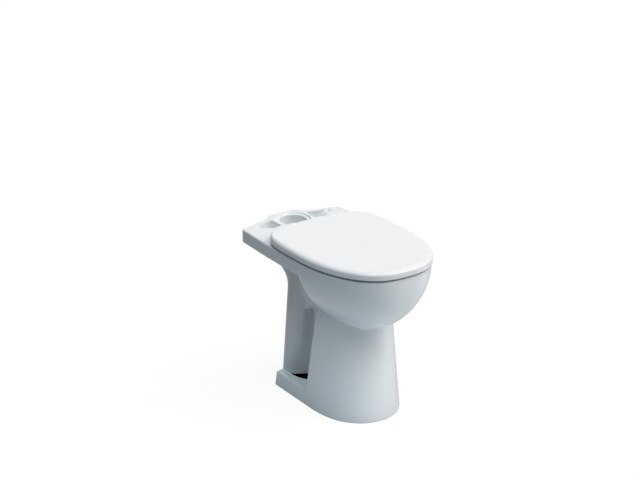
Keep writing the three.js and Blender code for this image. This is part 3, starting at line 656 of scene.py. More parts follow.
def web_skin():
    """The narrow web over the waterway, from the leg to the back of the bowl."""
    rear = LEG_NECK[1]
    depth = WEB_FRONT - rear
    rings = []
    for z in np.linspace(WEB_START, INSIDE_DECK, 20):
        reach = smooth((z - WEB_START) / (LEG_NECK_HEIGHT - WEB_START))
        front = rear + WEB_FRONT_SHARE * depth + (1 - WEB_FRONT_SHARE) * depth * reach
        widened = smooth((z - WEB_START) / (WEB_FULL_HEIGHT - WEB_START))
        half_width = WEB_FOOT_HALF_WIDTH + (WEB_HALF_WIDTH - WEB_FOOT_HALF_WIDTH) * widened
        middle = (rear + front) / 2
        rings.append(ring(oval(half_width, middle, front, rear, WEB_POWERS, WEB_POWERS), z))
    return loft("web_skin", rings)


def flare_plan(climb):
    """The back of the leg, which spreads backwards and sideways below the deck."""
    half_width, centre, half_depth = LEG_NECK
    spread = LEG_FLARE_RADIUS - math.sqrt(LEG_FLARE_RADIUS**2 - climb**2)
    centre -= spread
    half_width += spread * FLARE_SIDE_SHARE
    front, rear = centre + FLARE_FRONT_DEPTH, centre - half_depth
    return oval(half_width, centre, front, rear, ROUND_POWERS, ROUND_POWERS)


def flare_skin():
    climbs = np.linspace(0, LEG_FLARE_HEIGHT, 16)
    rings = [ring(flare_plan(climb), LEG_NECK_HEIGHT + climb) for climb in climbs]
    rings.append(ring(flare_plan(LEG_FLARE_HEIGHT), INSIDE_DECK))
    return loft("flare_skin", rings)


def trap_line(radius, outlet_radius, sump_top, outlet_low):
    """Stations of the waterway: forward, height and radius."""
    stations = [(TRAP_INLET, sump_top, radius)]
    rising = TRAP_INLET - 2 * TRAP_BEND
    bends = ((TRAP_INLET - TRAP_BEND, TRAP_DIP, -1), (rising - TRAP_BEND, TRAP_WEIR, 1))
    for centre, height, turn in bends:
        for angle in turn * np.pi * np.arange(25) / 24:
            along, up = TRAP_BEND * math.cos(angle), TRAP_BEND * math.sin(angle)
            stations.append((centre + along, height + up, radius))
    stations.append((TRAP_DROP[0], TRAP_DROP[1], radius))
    stations.append((LEG_FOOT[1], LEG_FOOT_HEIGHT, outlet_radius))
    stations.append((LEG_FOOT[1], outlet_low, outlet_radius))
    return stations


def trap_skin(name, stations):
    points = np.array([place(0.0, forward, z) for forward, z, _ in stations])
    rings = []
    cosine, sine = circle(1.0)
    for i, (_, _, radius) in enumerate(stations):
        along = points[min(i + 1, len(points) - 1)] - points[max(i - 1, 0)]
        along /= np.linalg.norm(along)
        side = np.array([1.0, 0.0, 0.0])
        up = np.cross(along, side)
        rings.append(points[i] + radius * (np.outer(cosine, side) + np.outer(sine, up)))
    return loft(name, rings)


def inside_plan(z):
    top = RIM_HEIGHT - RIM_LIP_DEPTH
    t = min((z - SUMP_HEIGHT) / (top - SUMP_HEIGHT), 1.0)
    opened = 1 - (1 - t) ** INSIDE_OPENING_POWER
    outer = min(z, top)

    def mix(low, high):
        return low + (high - low) * opened

    return oval(
        mix(TRAP_BORE, bowl_half_width(outer) - BOWL_WALL),
        TRAP_INLET,
        mix(TRAP_INLET + TRAP_BORE, bowl_front(outer) - BOWL_WALL),
        mix(TRAP_INLET - TRAP_BORE, INSIDE_REAR),
        MOUTH_FRONT_POWERS,
        INSIDE_REAR_POWERS,
    )


def mouth_plan(grow):
    half, front, rear = RIM_OPENING
    return oval(half + grow, WIDEST, front + grow, rear - grow, MOUTH_FRONT_POWERS, MOUTH_REAR_POWERS)


def hollow_tools():
    """The bowl, the flushing channel round it, its mouth and the waterway."""
    top = RIM_HEIGHT - RIM_LIP_DEPTH
    levels = SUMP_HEIGHT + (top - SUMP_HEIGHT) * np.linspace(0, 1, 30) ** INSIDE_LEVEL_POWER
    inside = loft("bowl_inside", [ring(inside_plan(z), z) for z in levels])
    channel = prism("rim_channel", inside_plan(top), top - TINY, RIM_HEIGHT - RIM_TOP_WALL)
    lip = prism("rim_lip", mouth_plan(RIM_LIP), top - OVERRUN, RIM_HEIGHT + OVERRUN)
    channel = boolean(channel, [lip], "DIFFERENCE")
    soft = DECK_EDGE_RADIUS
    rings = [ring(mouth_plan(0), top - TINY)]
    for shift, drop in reversed(edge_arc(soft)):
        rings.append(ring(mouth_plan(soft - shift), RIM_HEIGHT - soft + drop))
    rings.append(ring(mouth_plan(soft), RIM_HEIGHT + TINY))
    throat = loft("rim_mouth", rings)
    bore = trap_skin("trap_bore", trap_line(TRAP_BORE, OUTLET_BORE, SUMP_HEIGHT + TINY, -OVERRUN))
    return [inside, channel, throat, bore]


def densified(points, steps=6):
    following = np.roll(points, -1, 0)
    return np.vstack([a + (b - a) * np.arange(steps)[:, None] / steps for a, b in zip(points, following)])


def pocket_tool(side, name):
    """A recess for a cistern bolt: shallow at its outer tip and deep next to the inlet."""
    inner, tip = POCKET_ACROSS
    front, rear = POCKET_ALONG
    shares = np.array(POCKET_OUTLINE_SHARES)
    across = inner + (tip - inner) * shares[:, 0]
    outline = densified(np.column_stack((across, -(front + (rear - front) * shares[:, 1]))))
    middle = np.array([(inner + tip) / 2, -(front + rear) / 2])
    deep, shallow = POCKET_DEPTHS
    start, end = POCKET_SLOPE
    rings = []
    for share in POCKET_LEVEL_SHARES:
        plan = middle + (outline - middle) * share
        along = (plan[:, 0] - inner) / (tip - inner)
        depth = shallow + (deep - shallow) * (1 - smooth((along - start) / (end - start)))
        rings.append(ring(plan, RIM_HEIGHT - depth))
    rings.append(ring(outline, RIM_HEIGHT + TINY))
    for level in rings:
        level[:, 0] *= side
    return cleaned(loft(f"pocket_tool_{name}", rings))


def deck_tools():
    """The inlet, its duct, the cistern bolts' recesses and holes, and the seat's blind holes."""
    above = RIM_HEIGHT + OVERRUN
    half, duct_low, duct_high = DUCT
    duct_end = place(half, RIM_OPENING[2] + RIM_LIP / 2, duct_high)
    tools = [
        disc("inlet_well", INLET_RADIUS, 0, INLET_CENTRE, INLET_FLOOR, above),
        disc("inlet_step", INLET_STEP_RADIUS, 0, INLET_CENTRE, RIM_HEIGHT - INLET_STEP_DEPTH, above),
        block("flush_duct", place(-half, INLET_CENTRE, duct_low), duct_end),
    ]
    spread, reach, bolt_radius = CISTERN_BOLT
    nut_radius, nut_height = CISTERN_NUT
    hole_radius, hole_depth = FIXING_HOLE
    hole_floor = RIM_HEIGHT - hole_depth
    for side, name in SIDES:
        tools += [
            pocket_tool(side, name),
            disc("cistern_hole", bolt_radius, side * spread, -reach, nut_height - TINY, above),
            disc("nut_access", nut_radius, side * spread, -reach, LEG_NECK_HEIGHT, nut_height),
            disc("seat_hole", hole_radius, side * HINGE_SPREAD, HINGE_FORWARD, hole_floor, above),
        ]
    return tools


def screw_tools():
    above = PLINTH_HEIGHT + OVERRUN
    places = [(side * SCREW_SPREAD, forward) for side, _ in SIDES for forward in SCREW_PLACES]
    return [disc("floor_screw_hole", SCREW_RADIUS, x, forward, 0, above) for x, forward in places]


def pan_mesh(voxel, rounds, triangles):
    """The whole casting, softened the way a thick glaze rounds every edge."""
    shell = TRAP_BORE + TRAP_WALL
    body = deck_skin()
    inlet_low = INLET_FLOOR - INLET_BOSS_WALL
    boss_radius = INLET_RADIUS + INLET_BOSS_WALL
    waterway = trap_line(shell, shell, SUMP_HEIGHT + TRAP_WALL, LEG_FOOT_HEIGHT + TRAP_WALL)
    parts = [
        bowl_skin(),
        leg_skin(),
        web_skin(),
        flare_skin(),
        disc("inlet_boss", boss_radius, 0, INLET_CENTRE, inlet_low, INSIDE_DECK),
        trap_skin("trap_outer", waterway),
        pedestal_skin(),
    ]
    boolean(body, parts, "UNION")
    boolean(body, hollow_tools() + deck_tools(), "DIFFERENCE")
    remesh = body.modifiers.new("even", "REMESH")
    remesh.mode = "VOXEL"
    remesh.voxel_size = voxel
    soften = body.modifiers.new("soften", "SMOOTH")
    soften.factor = 0.5
    soften.iterations = rounds
    bake_modifiers(body)
    boolean(body, screw_tools(), "DIFFERENCE")
    count = sum(len(p.vertices) - 2 for p in body.data.polygons)
    if count > triangles:
        thin = body.modifiers.new("thin", "DECIMATE")
        thin.ratio = triangles / count
        bake_modifiers(body)
    body.name = "glazed_pan"
    return shade(body)


# Lid and seat


def lid_plan(margin):
    plan = oval(LID_HALF_WIDTH, WIDEST, LID_LENGTH, 0.0, LID_FRONT_POWERS, LID_REAR_POWERS, FINE_STEPS)
    return inset(plan, margin)


def lid_edge_plan(margin):
    """The lid's upper edge, which is rounded less towards the hinges."""
    plan = lid_plan(0.0)
    fullness = LID_REAR_EDGE_SHARE + (1 - LID_REAR_EDGE_SHARE) * smooth(plan[:, 1] / WIDEST)
    return inset(plan, margin * fullness)


def towards_middle(plan, share):
    middle = np.array([0.0, (plan[:, 1].max() + plan[:, 1].min()) / 2])
    return middle + (plan - middle) * share


def lid_skin():
    crown = LID_HIGH.z - LID_TOP
    underside = LID_TOP - LID_WALL
    rings = []
    for share in INWARD_SHARES:
        plan = towards_middle(lid_edge_plan(LID_EDGE_REACH), share)
        rings.append(ring(plan, LID_TOP + crown * (1 - share**2)))
    for shift, drop in edge_arc(1.0, 8):
        rings.append(ring(lid_edge_plan(LID_EDGE_REACH * drop), LID_TOP - LID_EDGE_DROP * shift))
    for shift, drop in edge_arc(FOOT_ROUND, 3):
        rings.append(ring(lid_plan(shift), SEAT_BOTTOM + drop))
    for shift, drop in edge_arc(FOOT_ROUND, 3):
        rings.append(ring(lid_plan(LID_SKIRT - drop), SEAT_BOTTOM + shift))
    for shift, drop in edge_arc(INNER_FILLET, 4):
        rings.append(ring(lid_plan(LID_SKIRT + shift), underside - drop))
    for share in reversed(INWARD_SHARES):
        rings.append(ring(towards_middle(lid_plan(LID_SKIRT + INNER_FILLET), share), underside))
    return cleaned(loft("lid_skin", rings))


def eye_tools(kind):
    """Start and end along X of each hinge eye, with the solids that make it."""
    places = []
    for side, name in SIDES:
        low, high, _ = box_of(f"{kind}_hinge_bush_{name}")
        outward = side if kind == "lid" else -side
        end = high.x if outward > 0 else low.x
        places.append(tuple(sorted((end - outward * LUG_LENGTH, end))))
    eyes = [axle("eye", LUG_RADIUS, start, end) for start, end in places]
    bores = [axle("eye_bore", EYE_BORE, start - OVERRUN, end + OVERRUN) for start, end in places]
    return places, eyes, bores


def stem_tools(kinds, depth):
    """Blind holes for the buffers' stems."""
    tools = []
    for kind in kinds:
        for _, name in SIDES:
            _, high, centre = box_of(f"{kind}_{name}")
            floor = high.z - depth
            tools.append(disc("stem_hole", STEM_HOLE, centre.x, DATUM - centre.y, floor, high.z + TINY))
    return tools


def lid_mesh():
    """The lid, with notches round the hinge posts and an eye beside each."""
    body = lid_skin()
    places, eyes, bores = eye_tools("lid")
    notches = []
    for _, name in SIDES:
        low, high, _ = box_of(f"hinge_post_{name}")
        near = place(low.x - NOTCH_SLACK, -OVERRUN, SEAT_BOTTOM - OVERRUN)
        far = place(high.x + NOTCH_SLACK, DATUM - low.y + NOTCH_SLACK, LID_TOP + OVERRUN)
        notches.append(block("lid_notch", near, far))
    boolean(body, notches, "DIFFERENCE")
    webs = []
    for start, end in places:
        near = place(start, HINGE_FORWARD - LUG_RADIUS, HINGE.z)
        far = place(end, HINGE_FORWARD + LUG_RADIUS, EYE_WEB_TOP)
        webs.append(block("eye_web", near, far))
    boolean(body, eyes + webs, "UNION")
    boolean(body, bores + stem_tools(("lid_buffer",), LID_STEM_DEPTH), "DIFFERENCE")
    body.name = "wrap_over_lid"
    return shade(body, MOULDED_CREASE)


def seat_skin():
    """The seat ring, closed round its opening, with a top that dishes towards it."""
    outer = lid_plan(SEAT_MARGIN)
    outer[:, 1] = np.maximum(outer[:, 1], SEAT_REAR)
    half, front, back = SEAT_OPENING
    inner = oval(half, WIDEST, front, back, MOUTH_FRONT_POWERS, MOUTH_REAR_POWERS, FINE_STEPS)
    span = inner - outer
    width = np.linalg.norm(span, axis=1)[:, None]
    across = span / width
    flat = width - SEAT_EDGE_ROUND - SEAT_INNER_ROUND
    rings = []
    for shift, drop in edge_arc(FOOT_ROUND, 3):
        rings.append(ring(outer + across * drop, SEAT_BOTTOM + shift))
    for shift, drop in edge_arc(SEAT_EDGE_ROUND):
        rings.append(ring(outer + across * shift, SEAT_TOP - drop))
    for share in SEAT_LEVEL_SHARES:
        fall = SEAT_DISH * smooth((share - SEAT_DISH_START) / (1 - SEAT_DISH_START))
        rings.append(ring(outer + across * (SEAT_EDGE_ROUND + flat * share), SEAT_TOP - fall))
    for shift, drop in edge_arc(SEAT_INNER_ROUND):
        rings.append(ring(inner - across * drop, SEAT_TOP - SEAT_DISH - shift))
    for shift, drop in edge_arc(1.0, 4):
        rings.append(ring(inner - across * SEAT_INNER_FOOT_ROUND * shift, SEAT_BOTTOM + FOOT_ROUND * drop))
    return cleaned(loft("seat_skin", rings, closed_loop=True))


def seat_mesh():
    """The seat ring with an arm and an eye at each hinge."""
    body = seat_skin()
    places, eyes, bores = eye_tools("seat")
    arms = []
    for start, end in places:
        near = place(start, HINGE_FORWARD, SEAT_TOP - SEAT_ARM_DEPTH)
        arms.append(block("seat_arm", near, place(end, SEAT_REAR + OVERRUN, SEAT_TOP - TINY)))
    boolean(body, eyes + arms, "UNION")
    stems = stem_tools(("seat_buffer_front", "seat_buffer_rear"), SEAT_STEM_DEPTH)
    boolean(body, bores + stems, "DIFFERENCE")
    body.name = "seat_moulding"
    return shade(body, MOULDED_CREASE)


# Hinges and fixings


def post_mesh(name):
    """A hinge post: a rounded barrel that fills the lid's notch, on a neck and a round base."""
    low, high, centre = box_of(f"hinge_post_{name}")
    reach = (high.y - low.y) / 2
    across, up = circle(BARREL_RADIUS, FINE_STEPS)
    across = np.clip(across, -reach, reach)
    up = np.minimum(up, high.z - HINGE.z)
    steps = [(shift, 1 - drop / BARREL_RADIUS) for shift, drop in edge_arc(BARREL_ROUND, 3)]
    stations = [(low.x + along, scale) for along, scale in steps]
    stations += [(high.x - along, scale) for along, scale in reversed(steps)]
    rings = [stacked(x, HINGE.y + across * scale, HINGE.z + up * scale) for x, scale in stations]
    body = cleaned(loft("hinge_barrel", rings))
    base_radius, base_height = POST_BASE
    neck_radius, neck_start = POST_NECK
    base = lathe("hinge_base", rounded_profile(base_radius, low.z, low.z + base_height, POST_ROUND))
    neck = lathe("hinge_neck", rounded_profile(neck_radius, low.z + neck_start, HINGE.z, POST_ROUND))
    for part in (base, neck):
        shifted(part, centre.x, HINGE.y, 0.0)
    boolean(body, [base, neck], "UNION")
    bore = axle("pin_bore", PIN_BORE, low.x - OVERRUN, high.x + OVERRUN)
    stud = disc("stud_hole", STUD_BORE, centre.x, HINGE_FORWARD, low.z - OVERRUN, low.z + STUD_DEPTH)
    boolean(body, [bore, stud], "DIFFERENCE")
    body.name = f"hinge_barrel_post_{name}"
    return shade(body, TURNED_CREASE)


def bored(body, low, high, centre):
    """Drills the hole for the hinge stud through a piece."""
    bore = disc("stud_bore", STUD_BORE, centre.x, DATUM - centre.y, low.z - OVERRUN, high.z + OVERRUN)
    return boolean(body, [bore], "DIFFERENCE")


def washer_mesh(name):
    low, high, centre = box_of(f"hinge_washer_{name}")
    radius = (high.x - low.x) / 2
    body = lathe(f"post_washer_{name}", rounded_profile(radius, low.z, high.z, WASHER_ROUND))
    shifted(body, centre.x, centre.y, 0.0)
    bored(body, low, high, centre)
    return shade(body, TURNED_CREASE)


def buffer_mesh(node, piece_name):
    """A rubber buffer: a low dome with a stem that pushes up into the seat or lid."""
    low, high, centre = box_of(node)
    radius = (high.x - low.x) / 2
    shoulder = (SEAT_BOTTOM if node.startswith("seat") else LID_TOP - LID_WALL) - TINY
    crown_share, crown_rise = BUFFER_CROWN
    profile = [(0.0, low.z), (radius * crown_share, low.z + crown_rise)]
    profile += [(radius - drop, low.z + shift) for shift, drop in edge_arc(BUFFER_ROUND, 5)]
    profile += [
        (radius, shoulder - BUFFER_CHAMFER),
        (radius - BUFFER_CHAMFER, shoulder),
        (BUFFER_STEM + BUFFER_CHAMFER, shoulder),
        (BUFFER_STEM, shoulder + BUFFER_CHAMFER),
        (BUFFER_STEM, high.z - STEM_TIP),
        (BUFFER_STEM - STEM_TIP, high.z),
        (0.0, high.z),
    ]
    return shade(shifted(lathe(piece_name, profile), centre.x, centre.y, 0.0), TURNED_CREASE)


def pin_mesh(name):
    low, high, centre = box_of(f"hinge_pin_{name}")
    radius = (high.z - low.z) / 2
    half = (high.x - low.x) / 2
    body = lathe(f"pivot_pin_{name}", rounded_profile(radius, -half, half, PIN_ROUND))
    body.data.transform(Matrix.Rotation(math.pi / 2, 4, "Y"))
    shifted(body, centre.x, centre.y, centre.z)
    return shade(body, TURNED_CREASE)


def eye_bush_mesh(kind, side, name):
    """A flanged nylon bush in one hinge eye."""
    low, high, centre = box_of(f"{kind}_hinge_bush_{name}")
    length = high.x - low.x
    flange_radius, flange = EYE_BUSH_FLANGE
    outer = PIN_BORE + EYE_BUSH_WALL
    profile = [
        (PIN_BORE, EYE_BUSH_ROUND),
        (PIN_BORE + EYE_BUSH_ROUND, 0.0),
        (flange_radius - EYE_BUSH_ROUND, 0.0),
        (flange_radius, EYE_BUSH_ROUND),
        (flange_radius, flange),
        (outer, flange),
        (outer, length - EYE_BUSH_CHAMFER),
        (outer - EYE_BUSH_CHAMFER, length),
        (PIN_BORE, length),
    ]
    body = lathe(f"{kind}_eye_bush_{name}", profile)
    outward = side if kind == "lid" else -side
    body.data.transform(Matrix.Rotation(outward * math.pi / 2, 4, "Y"))
    shifted(body, low.x if outward > 0 else high.x, centre.y, centre.z)
    return shade(body, TURNED_CREASE)


def nut_mesh(name):
    """A hexagonal nut with chamfered corners."""
    low, high, centre = box_of(f"bush_nut_{name}")
    radius = (high.y - low.y) / 2
    angle = np.pi / 2 + np.pi * np.arange(6) / 3
    x, y = np.cos(angle) * radius + centre.x, np.sin(angle) * radius + centre.y
    body = loft(f"bush_draw_nut_{name}", [stacked(x, y, z) for z in (low.z, high.z)])
    rounded = rounded_profile(radius * NUT_CHAMFER_SHARE, low.z, high.z, NUT_CHAMFER)
    chamfer = shifted(lathe("nut_chamfer", rounded), centre.x, centre.y, 0.0)
    boolean(body, [chamfer], "INTERSECT")
    bored(body, low, high, centre)
    return shade(body, NUT_CREASE)


def stud_mesh(name, tree, sockets, pitch):
    """A threaded stud that joins a hinge post to its bush."""
    low, high, centre = box_of(f"hinge_stud_{name}")
    length = high.z - low.z
    sizes = {
        "Length": length - 2 * THREAD_DEPTH,
        "Core Radius": (high.x - low.x) / 2 - THREAD_DEPTH,
        "Thread Size": THREAD_DEPTH,
        "Turns": length / pitch,
    }
    stud = grown(mesh_object(f"threaded_stud_{name}", [], []), tree, sockets, sizes)
    shifted(stud, centre.x, centre.y, low.z + THREAD_DEPTH)
    return shade(stud, THREAD_CREASE)


def bush_mesh(name, tree, sockets, ribs):
    """A rubber sleeve whose ribs grip the hole in the deck."""
    low, high, centre = box_of(f"expansion_bush_{name}")
    length = high.z - low.z
    wall = (high.x - low.x) / 2 - RIB_SIZE
    profile = [(STUD_BORE, 0.0), (wall, 0.0), (wall, length), (STUD_BORE, length)]
    sizes = {
        "Lowest Rib": RIB_MARGIN,
        "Highest Rib": length - RIB_MARGIN,
        "Ring Radius": wall,
        "Rib Size": RIB_SIZE,
        "Ribs": ribs,
    }
    sleeve = grown(lathe(f"ribbed_bush_{name}", profile), tree, sockets, sizes)
    shifted(sleeve, centre.x, centre.y, low.z)
    return shade(sleeve, THREAD_CREASE)


# Node trees


class NodeTree:
    """Adds nodes to a tree and wires them by socket name."""

    def __init__(self, tree):
        self.tree = tree

    def add(self, kind, wires=None, **settings):
        made = self.tree.nodes.new(kind)
        for key, value in settings.items():
            setattr(made, key, value)
        for socket, source in (wires or {}).items():
            target = made.inputs[socket]
            if hasattr(source, "is_output"):
                self.tree.links.new(source, target)
            else:
                target.default_value = source
        return made

    def first(self, kind, wires=None, **settings):
        """The first output of a new node."""
        return self.add(kind, wires, **settings).outputs[0]


class GrowingTree(NodeTree):
    """A geometry node tree whose inputs are sizes."""

    def __init__(self, name):
        super().__init__(bpy.data.node_groups.new(name, "GeometryNodeTree"))
        self.tree.interface.new_socket("Geometry", in_out="OUTPUT", socket_type="NodeSocketGeometry")
        self.given = self.tree.nodes.new("NodeGroupInput").outputs
        self.output = self.tree.nodes.new("NodeGroupOutput")

    def size(self, name, kind="NodeSocketFloat"):
        return self.tree.interface.new_socket(name, in_out="INPUT", socket_type=kind).identifier

    def finish(self, pieces, material):
        """Joins the pieces, makes every copy real and gives them their material."""
        join = self.add("GeometryNodeJoinGeometry")
        for piece in pieces:
            self.tree.links.new(piece, join.inputs[0])
        realised = self.first("GeometryNodeRealizeInstances", {"Geometry": join.outputs[0]})
        coloured = self.first("GeometryNodeSetMaterial", {"Geometry": realised, "Material": material})
        self.tree.links.new(coloured, self.output.inputs[0])

    def circle(self, resolution, radius):
        return self.first("GeometryNodeCurvePrimitiveCircle", {"Resolution": resolution, "Radius": radius})

    def swept(self, path, profile, capped):
        wires = {"Curve": path, "Profile Curve": profile, "Fill Caps": capped}
        return self.first("GeometryNodeCurveToMesh", wires)

    def height(self, z):
        return self.first("ShaderNodeCombineXYZ", {"Z": z})


def threaded_rod_tree(material):
    """A plain core with one helical thread wound round it, standing on z = 0."""
    build = GrowingTree("threaded_rod")
    sockets = {name: build.size(name) for name in ("Length", "Core Radius", "Thread Size", "Turns")}
    given = build.given
    length, radius = given["Length"], given["Core Radius"]
    core = build.first("GeometryNodeMeshCylinder", {"Vertices": 32, "Radius": radius, "Depth": length})
    half = build.first("ShaderNodeMath", {0: length, 1: 0.5}, operation="MULTIPLY")
    raised = build.first("GeometryNodeTransform", {"Geometry": core, "Translation": build.height(half)})
    winding = {"Resolution": 16, "Rotations": given["Turns"], "Height": length}
    helix = build.first("GeometryNodeCurveSpiral", {**winding, "Start Radius": radius, "End Radius": radius})
    thread = build.swept(helix, build.circle(6, given["Thread Size"]), True)
    build.finish((raised, thread), material)
    return build.tree, sockets


def ribbed_sleeve_tree(material):
    """Rings spaced evenly along Z, which ride on the sleeve that the mesh itself holds."""
    build = GrowingTree("ribbed_sleeve")
    build.size("Sleeve", "NodeSocketGeometry")
    sockets = {name: build.size(name) for name in ("Lowest Rib", "Highest Rib", "Ring Radius", "Rib Size")}
    sockets["Ribs"] = build.size("Ribs", "NodeSocketInt")
    given = build.given
    ends = {"Start": build.height(given["Lowest Rib"]), "End": build.height(given["Highest Rib"])}
    line = build.first("GeometryNodeCurvePrimitiveLine", ends)
    points = build.first("GeometryNodeCurveToPoints", {"Curve": line, "Count": given["Ribs"]})
    rib = build.swept(build.circle(40, given["Ring Radius"]), build.circle(8, given["Rib Size"]), False)
    ribs = build.first("GeometryNodeInstanceOnPoints", {"Points": points, "Instance": rib})
    build.finish((given["Sleeve"], ribs), material)
    return build.tree, sockets


def grown(obj, tree, sockets, sizes):
    """Runs a tree on an object and leaves the result as its plain mesh."""
    modifier = obj.modifiers.new("grow", "NODES")
    modifier.node_group = tree
    for name, value in sizes.items():
        modifier[sockets[name]] = value
    return bake_modifiers(obj)


# Finishes


class Finish(NodeTree):
    """A material whose patterns follow the object's own coordinates."""

    def __init__(self, name, colour, values):
        self.material = bpy.data.materials.new(name)
        self.material.use_nodes = True
        super().__init__(self.material.node_tree)
        self.shader = self.tree.nodes["Principled BSDF"]
        self.shader.inputs["Base Color"].default_value = (*colour, 1.0)
        for socket, value in values.items():
            self.shader.inputs[socket].default_value = value
        self.coordinates = self.tree.nodes.new("ShaderNodeTexCoord").outputs["Object"]
        self.colour = colour
        self.material.diffuse_color = (*colour, 1.0)

    def noise(self, scale, detail):
        wires = {"Vector": self.coordinates, "Scale": scale, "Detail": detail, "Roughness": 0.5}
        return self.add("ShaderNodeTexNoise", wires).outputs["Fac"]

    def tinted(self, scale, detail, share):
        """Moves the colour gently along a pattern, down to a share of itself."""
        ramp = self.add("ShaderNodeValToRGB", {"Fac": self.noise(scale, detail)})
        darker, lighter = ramp.color_ramp.elements
        darker.position, lighter.position = TINT_BAND
        darker.color = (*(c * share for c in self.colour), 1.0)
        lighter.color = (*self.colour, 1.0)
        self.tree.links.new(ramp.outputs["Color"], self.shader.inputs["Base Color"])

    def rough_between(self, scale, detail, low, high):
        wires = {"Value": self.noise(scale, detail), "To Min": low, "To Max": high}
        spread = self.add("ShaderNodeMapRange", wires)
        self.tree.links.new(spread.outputs["Result"], self.shader.inputs["Roughness"])

    def bumped(self, *layers):
        """Stacks bumps: the scale and detail of each pattern, with its depth and strength."""
        wires = {}
        for scale, detail, depth, strength in layers:
            wires.update({"Height": self.noise(scale, detail), "Distance": depth, "Strength": strength})
            wires["Normal"] = self.add("ShaderNodeBump", wires).outputs["Normal"]
        self.tree.links.new(wires["Normal"], self.shader.inputs["Normal"])


def china_finish(colour):
    """Vitreous china under a thick clear glaze that pools and ripples a little."""
    values = {"Roughness": 0.12, "Coat Weight": 0.2, "Coat Roughness": 0.05}
    finish = Finish("white_glazed_china", colour, values)
    finish.tinted(7.0, 3.0, 0.985)
    finish.rough_between(60.0, 4.0, 0.07, 0.14)
    finish.bumped((28.0, 2.0, 0.0006, 0.12), (900.0, 2.0, 0.00002, 0.25))
    return finish.material


def plastic_finish(colour):
    """Dense moulded thermoset with a soft gloss."""
    values = {"Roughness": 0.22, "Coat Weight": 0.15, "Coat Roughness": 0.1}
    finish = Finish("white_seat_plastic", colour, values)
    finish.tinted(5.0, 2.0, 0.992)
    finish.rough_between(120.0, 3.0, 0.18, 0.27)
    finish.bumped((16.0, 1.0, 0.0004, 0.06), (1500.0, 2.0, 0.00001, 0.3))
    return finish.material


def enamel_finish(colour):
    """Hard white enamel on the metal posts, with a fine orange peel."""
    values = {"Roughness": 0.2, "Coat Weight": 0.3, "Coat Roughness": 0.08}
    finish = Finish("white_hinge_enamel", colour, values)
    finish.tinted(40.0, 2.0, 0.98)
    finish.rough_between(300.0, 3.0, 0.16, 0.26)
    finish.bumped((420.0, 2.0, 0.00003, 0.3))
    return finish.material


def rubber_finish(name, colour):
    """Matt moulded rubber with a dusty grain."""
    finish = Finish(name, colour, {"Roughness": 0.7, "Specular IOR Level": 0.3})
    finish.tinted(90.0, 4.0, 0.85)
    finish.rough_between(400.0, 4.0, 0.6, 0.85)
    finish.bumped((1800.0, 3.0, 0.00008, 0.4))
    return finish.material


def turned_metal_finish(name, colour, roughness):
    """Metal with the fine, uneven grain that turning leaves."""
    finish = Finish(name, colour, {"Roughness": roughness, "Metallic": 1.0})
    finish.tinted(220.0, 3.0, 0.86)
    finish.rough_between(700.0, 4.0, roughness * 0.75, roughness * 1.35)
    finish.bumped((2600.0, 2.0, 0.00002, 0.35))
    return finish.material


def nylon_finish(colour):
    """Uncoloured nylon, which lets a little light in."""
    values = {"Roughness": 0.42, "Subsurface Weight": 0.12, "Subsurface Scale": 0.002}
    finish = Finish("natural_nylon", colour, values)
    finish.tinted(150.0, 2.0, 0.94)
    finish.rough_between(900.0, 3.0, 0.36, 0.5)
    finish.bumped((1400.0, 2.0, 0.00003, 0.3))
    return finish.material


FINISHES = {}


def finish_of(slot):
    """The finish for a slot of the record, made once."""
    looks = bpy.context.scene.toilet_looks
    makers = {
        "china": lambda: china_finish(looks.china),
        "seat": lambda: plastic_finish(looks.plastic),
        "hinge_post": lambda: enamel_finish(looks.plastic),
        "steel": lambda: turned_metal_finish("turned_steel", looks.steel, 0.24),
        "brass": lambda: turned_metal_finish("turned_brass", looks.brass, 0.3),
        "black_rubber": lambda: rubber_finish("black_fixing_rubber", looks.dark_rubber),
        "buffer": lambda: rubber_finish("pale_buffer_rubber", looks.pale_rubber),
        "nylon": lambda: nylon_finish(looks.nylon),
    }
    key = "seat" if slot == "lid" else slot
    if key not in FINISHES:
        FINISHES[key] = makers[key]()
    return FINISHES[key]


def dressed(piece, node, body, slot):
    """Gives a finished piece the material for its slot and its body, and hides the CAD node that it stands
    for.
    """
    piece.data.materials.clear()
    piece.data.materials.append(finish_of(slot))
    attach(piece, body)
    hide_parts(node)
    return piece


# Settings that a user would change


def colour_property(name, description, default):
    return bpy.props.FloatVectorProperty(
        name=name, description=description, subtype="COLOR", size=3, min=0, max=1, default=default
    )


class ToiletLooks(bpy.types.PropertyGroup):
    china: colour_property("China", "Colour of the glazed pan", (0.80, 0.84, 0.865))
    plastic: colour_property("Seat", "Colour of the seat and lid", (0.88, 0.89, 0.92))
    steel: colour_property("Steel", "Colour of pins and studs", (0.62, 0.63, 0.65))
    brass: colour_property("Brass", "Colour of the draw nuts", (0.72, 0.54, 0.24))
    dark_rubber: colour_property(
        "Fixing rubber", "Colour of washers and expansion bushes", (0.02, 0.02, 0.022)
    )
    pale_rubber: colour_property("Buffer rubber", "Colour of the buffers", (0.6, 0.62, 0.63))
    nylon: colour_property("Nylon", "Colour of the hinge bushes", (0.78, 0.76, 0.7))


class ToiletSizes(bpy.types.PropertyGroup):
    pan_grain: bpy.props.FloatProperty(
        name="Surface grain",
        description="Size of the cells that the pan's surface is remade from",
        unit="LENGTH",
        default=0.0018,
    )
    glaze_rounding: bpy.props.IntProperty(
        name="Glaze rounding", description="How many passes soften the pan's edges", default=2
    )
    pan_triangles: bpy.props.IntProperty(
        name="Pan triangles", description="Most triangles on the pan", default=196000
    )
    thread_pitch: bpy.props.FloatProperty(
        name="Thread pitch",
        description="Rise of each turn of the stud's thread",
        unit="LENGTH",
        default=0.001,
    )
    rib_count: bpy.props.IntProperty(
        name="Bush ribs", description="Ribs round each expansion bush", default=5
    )


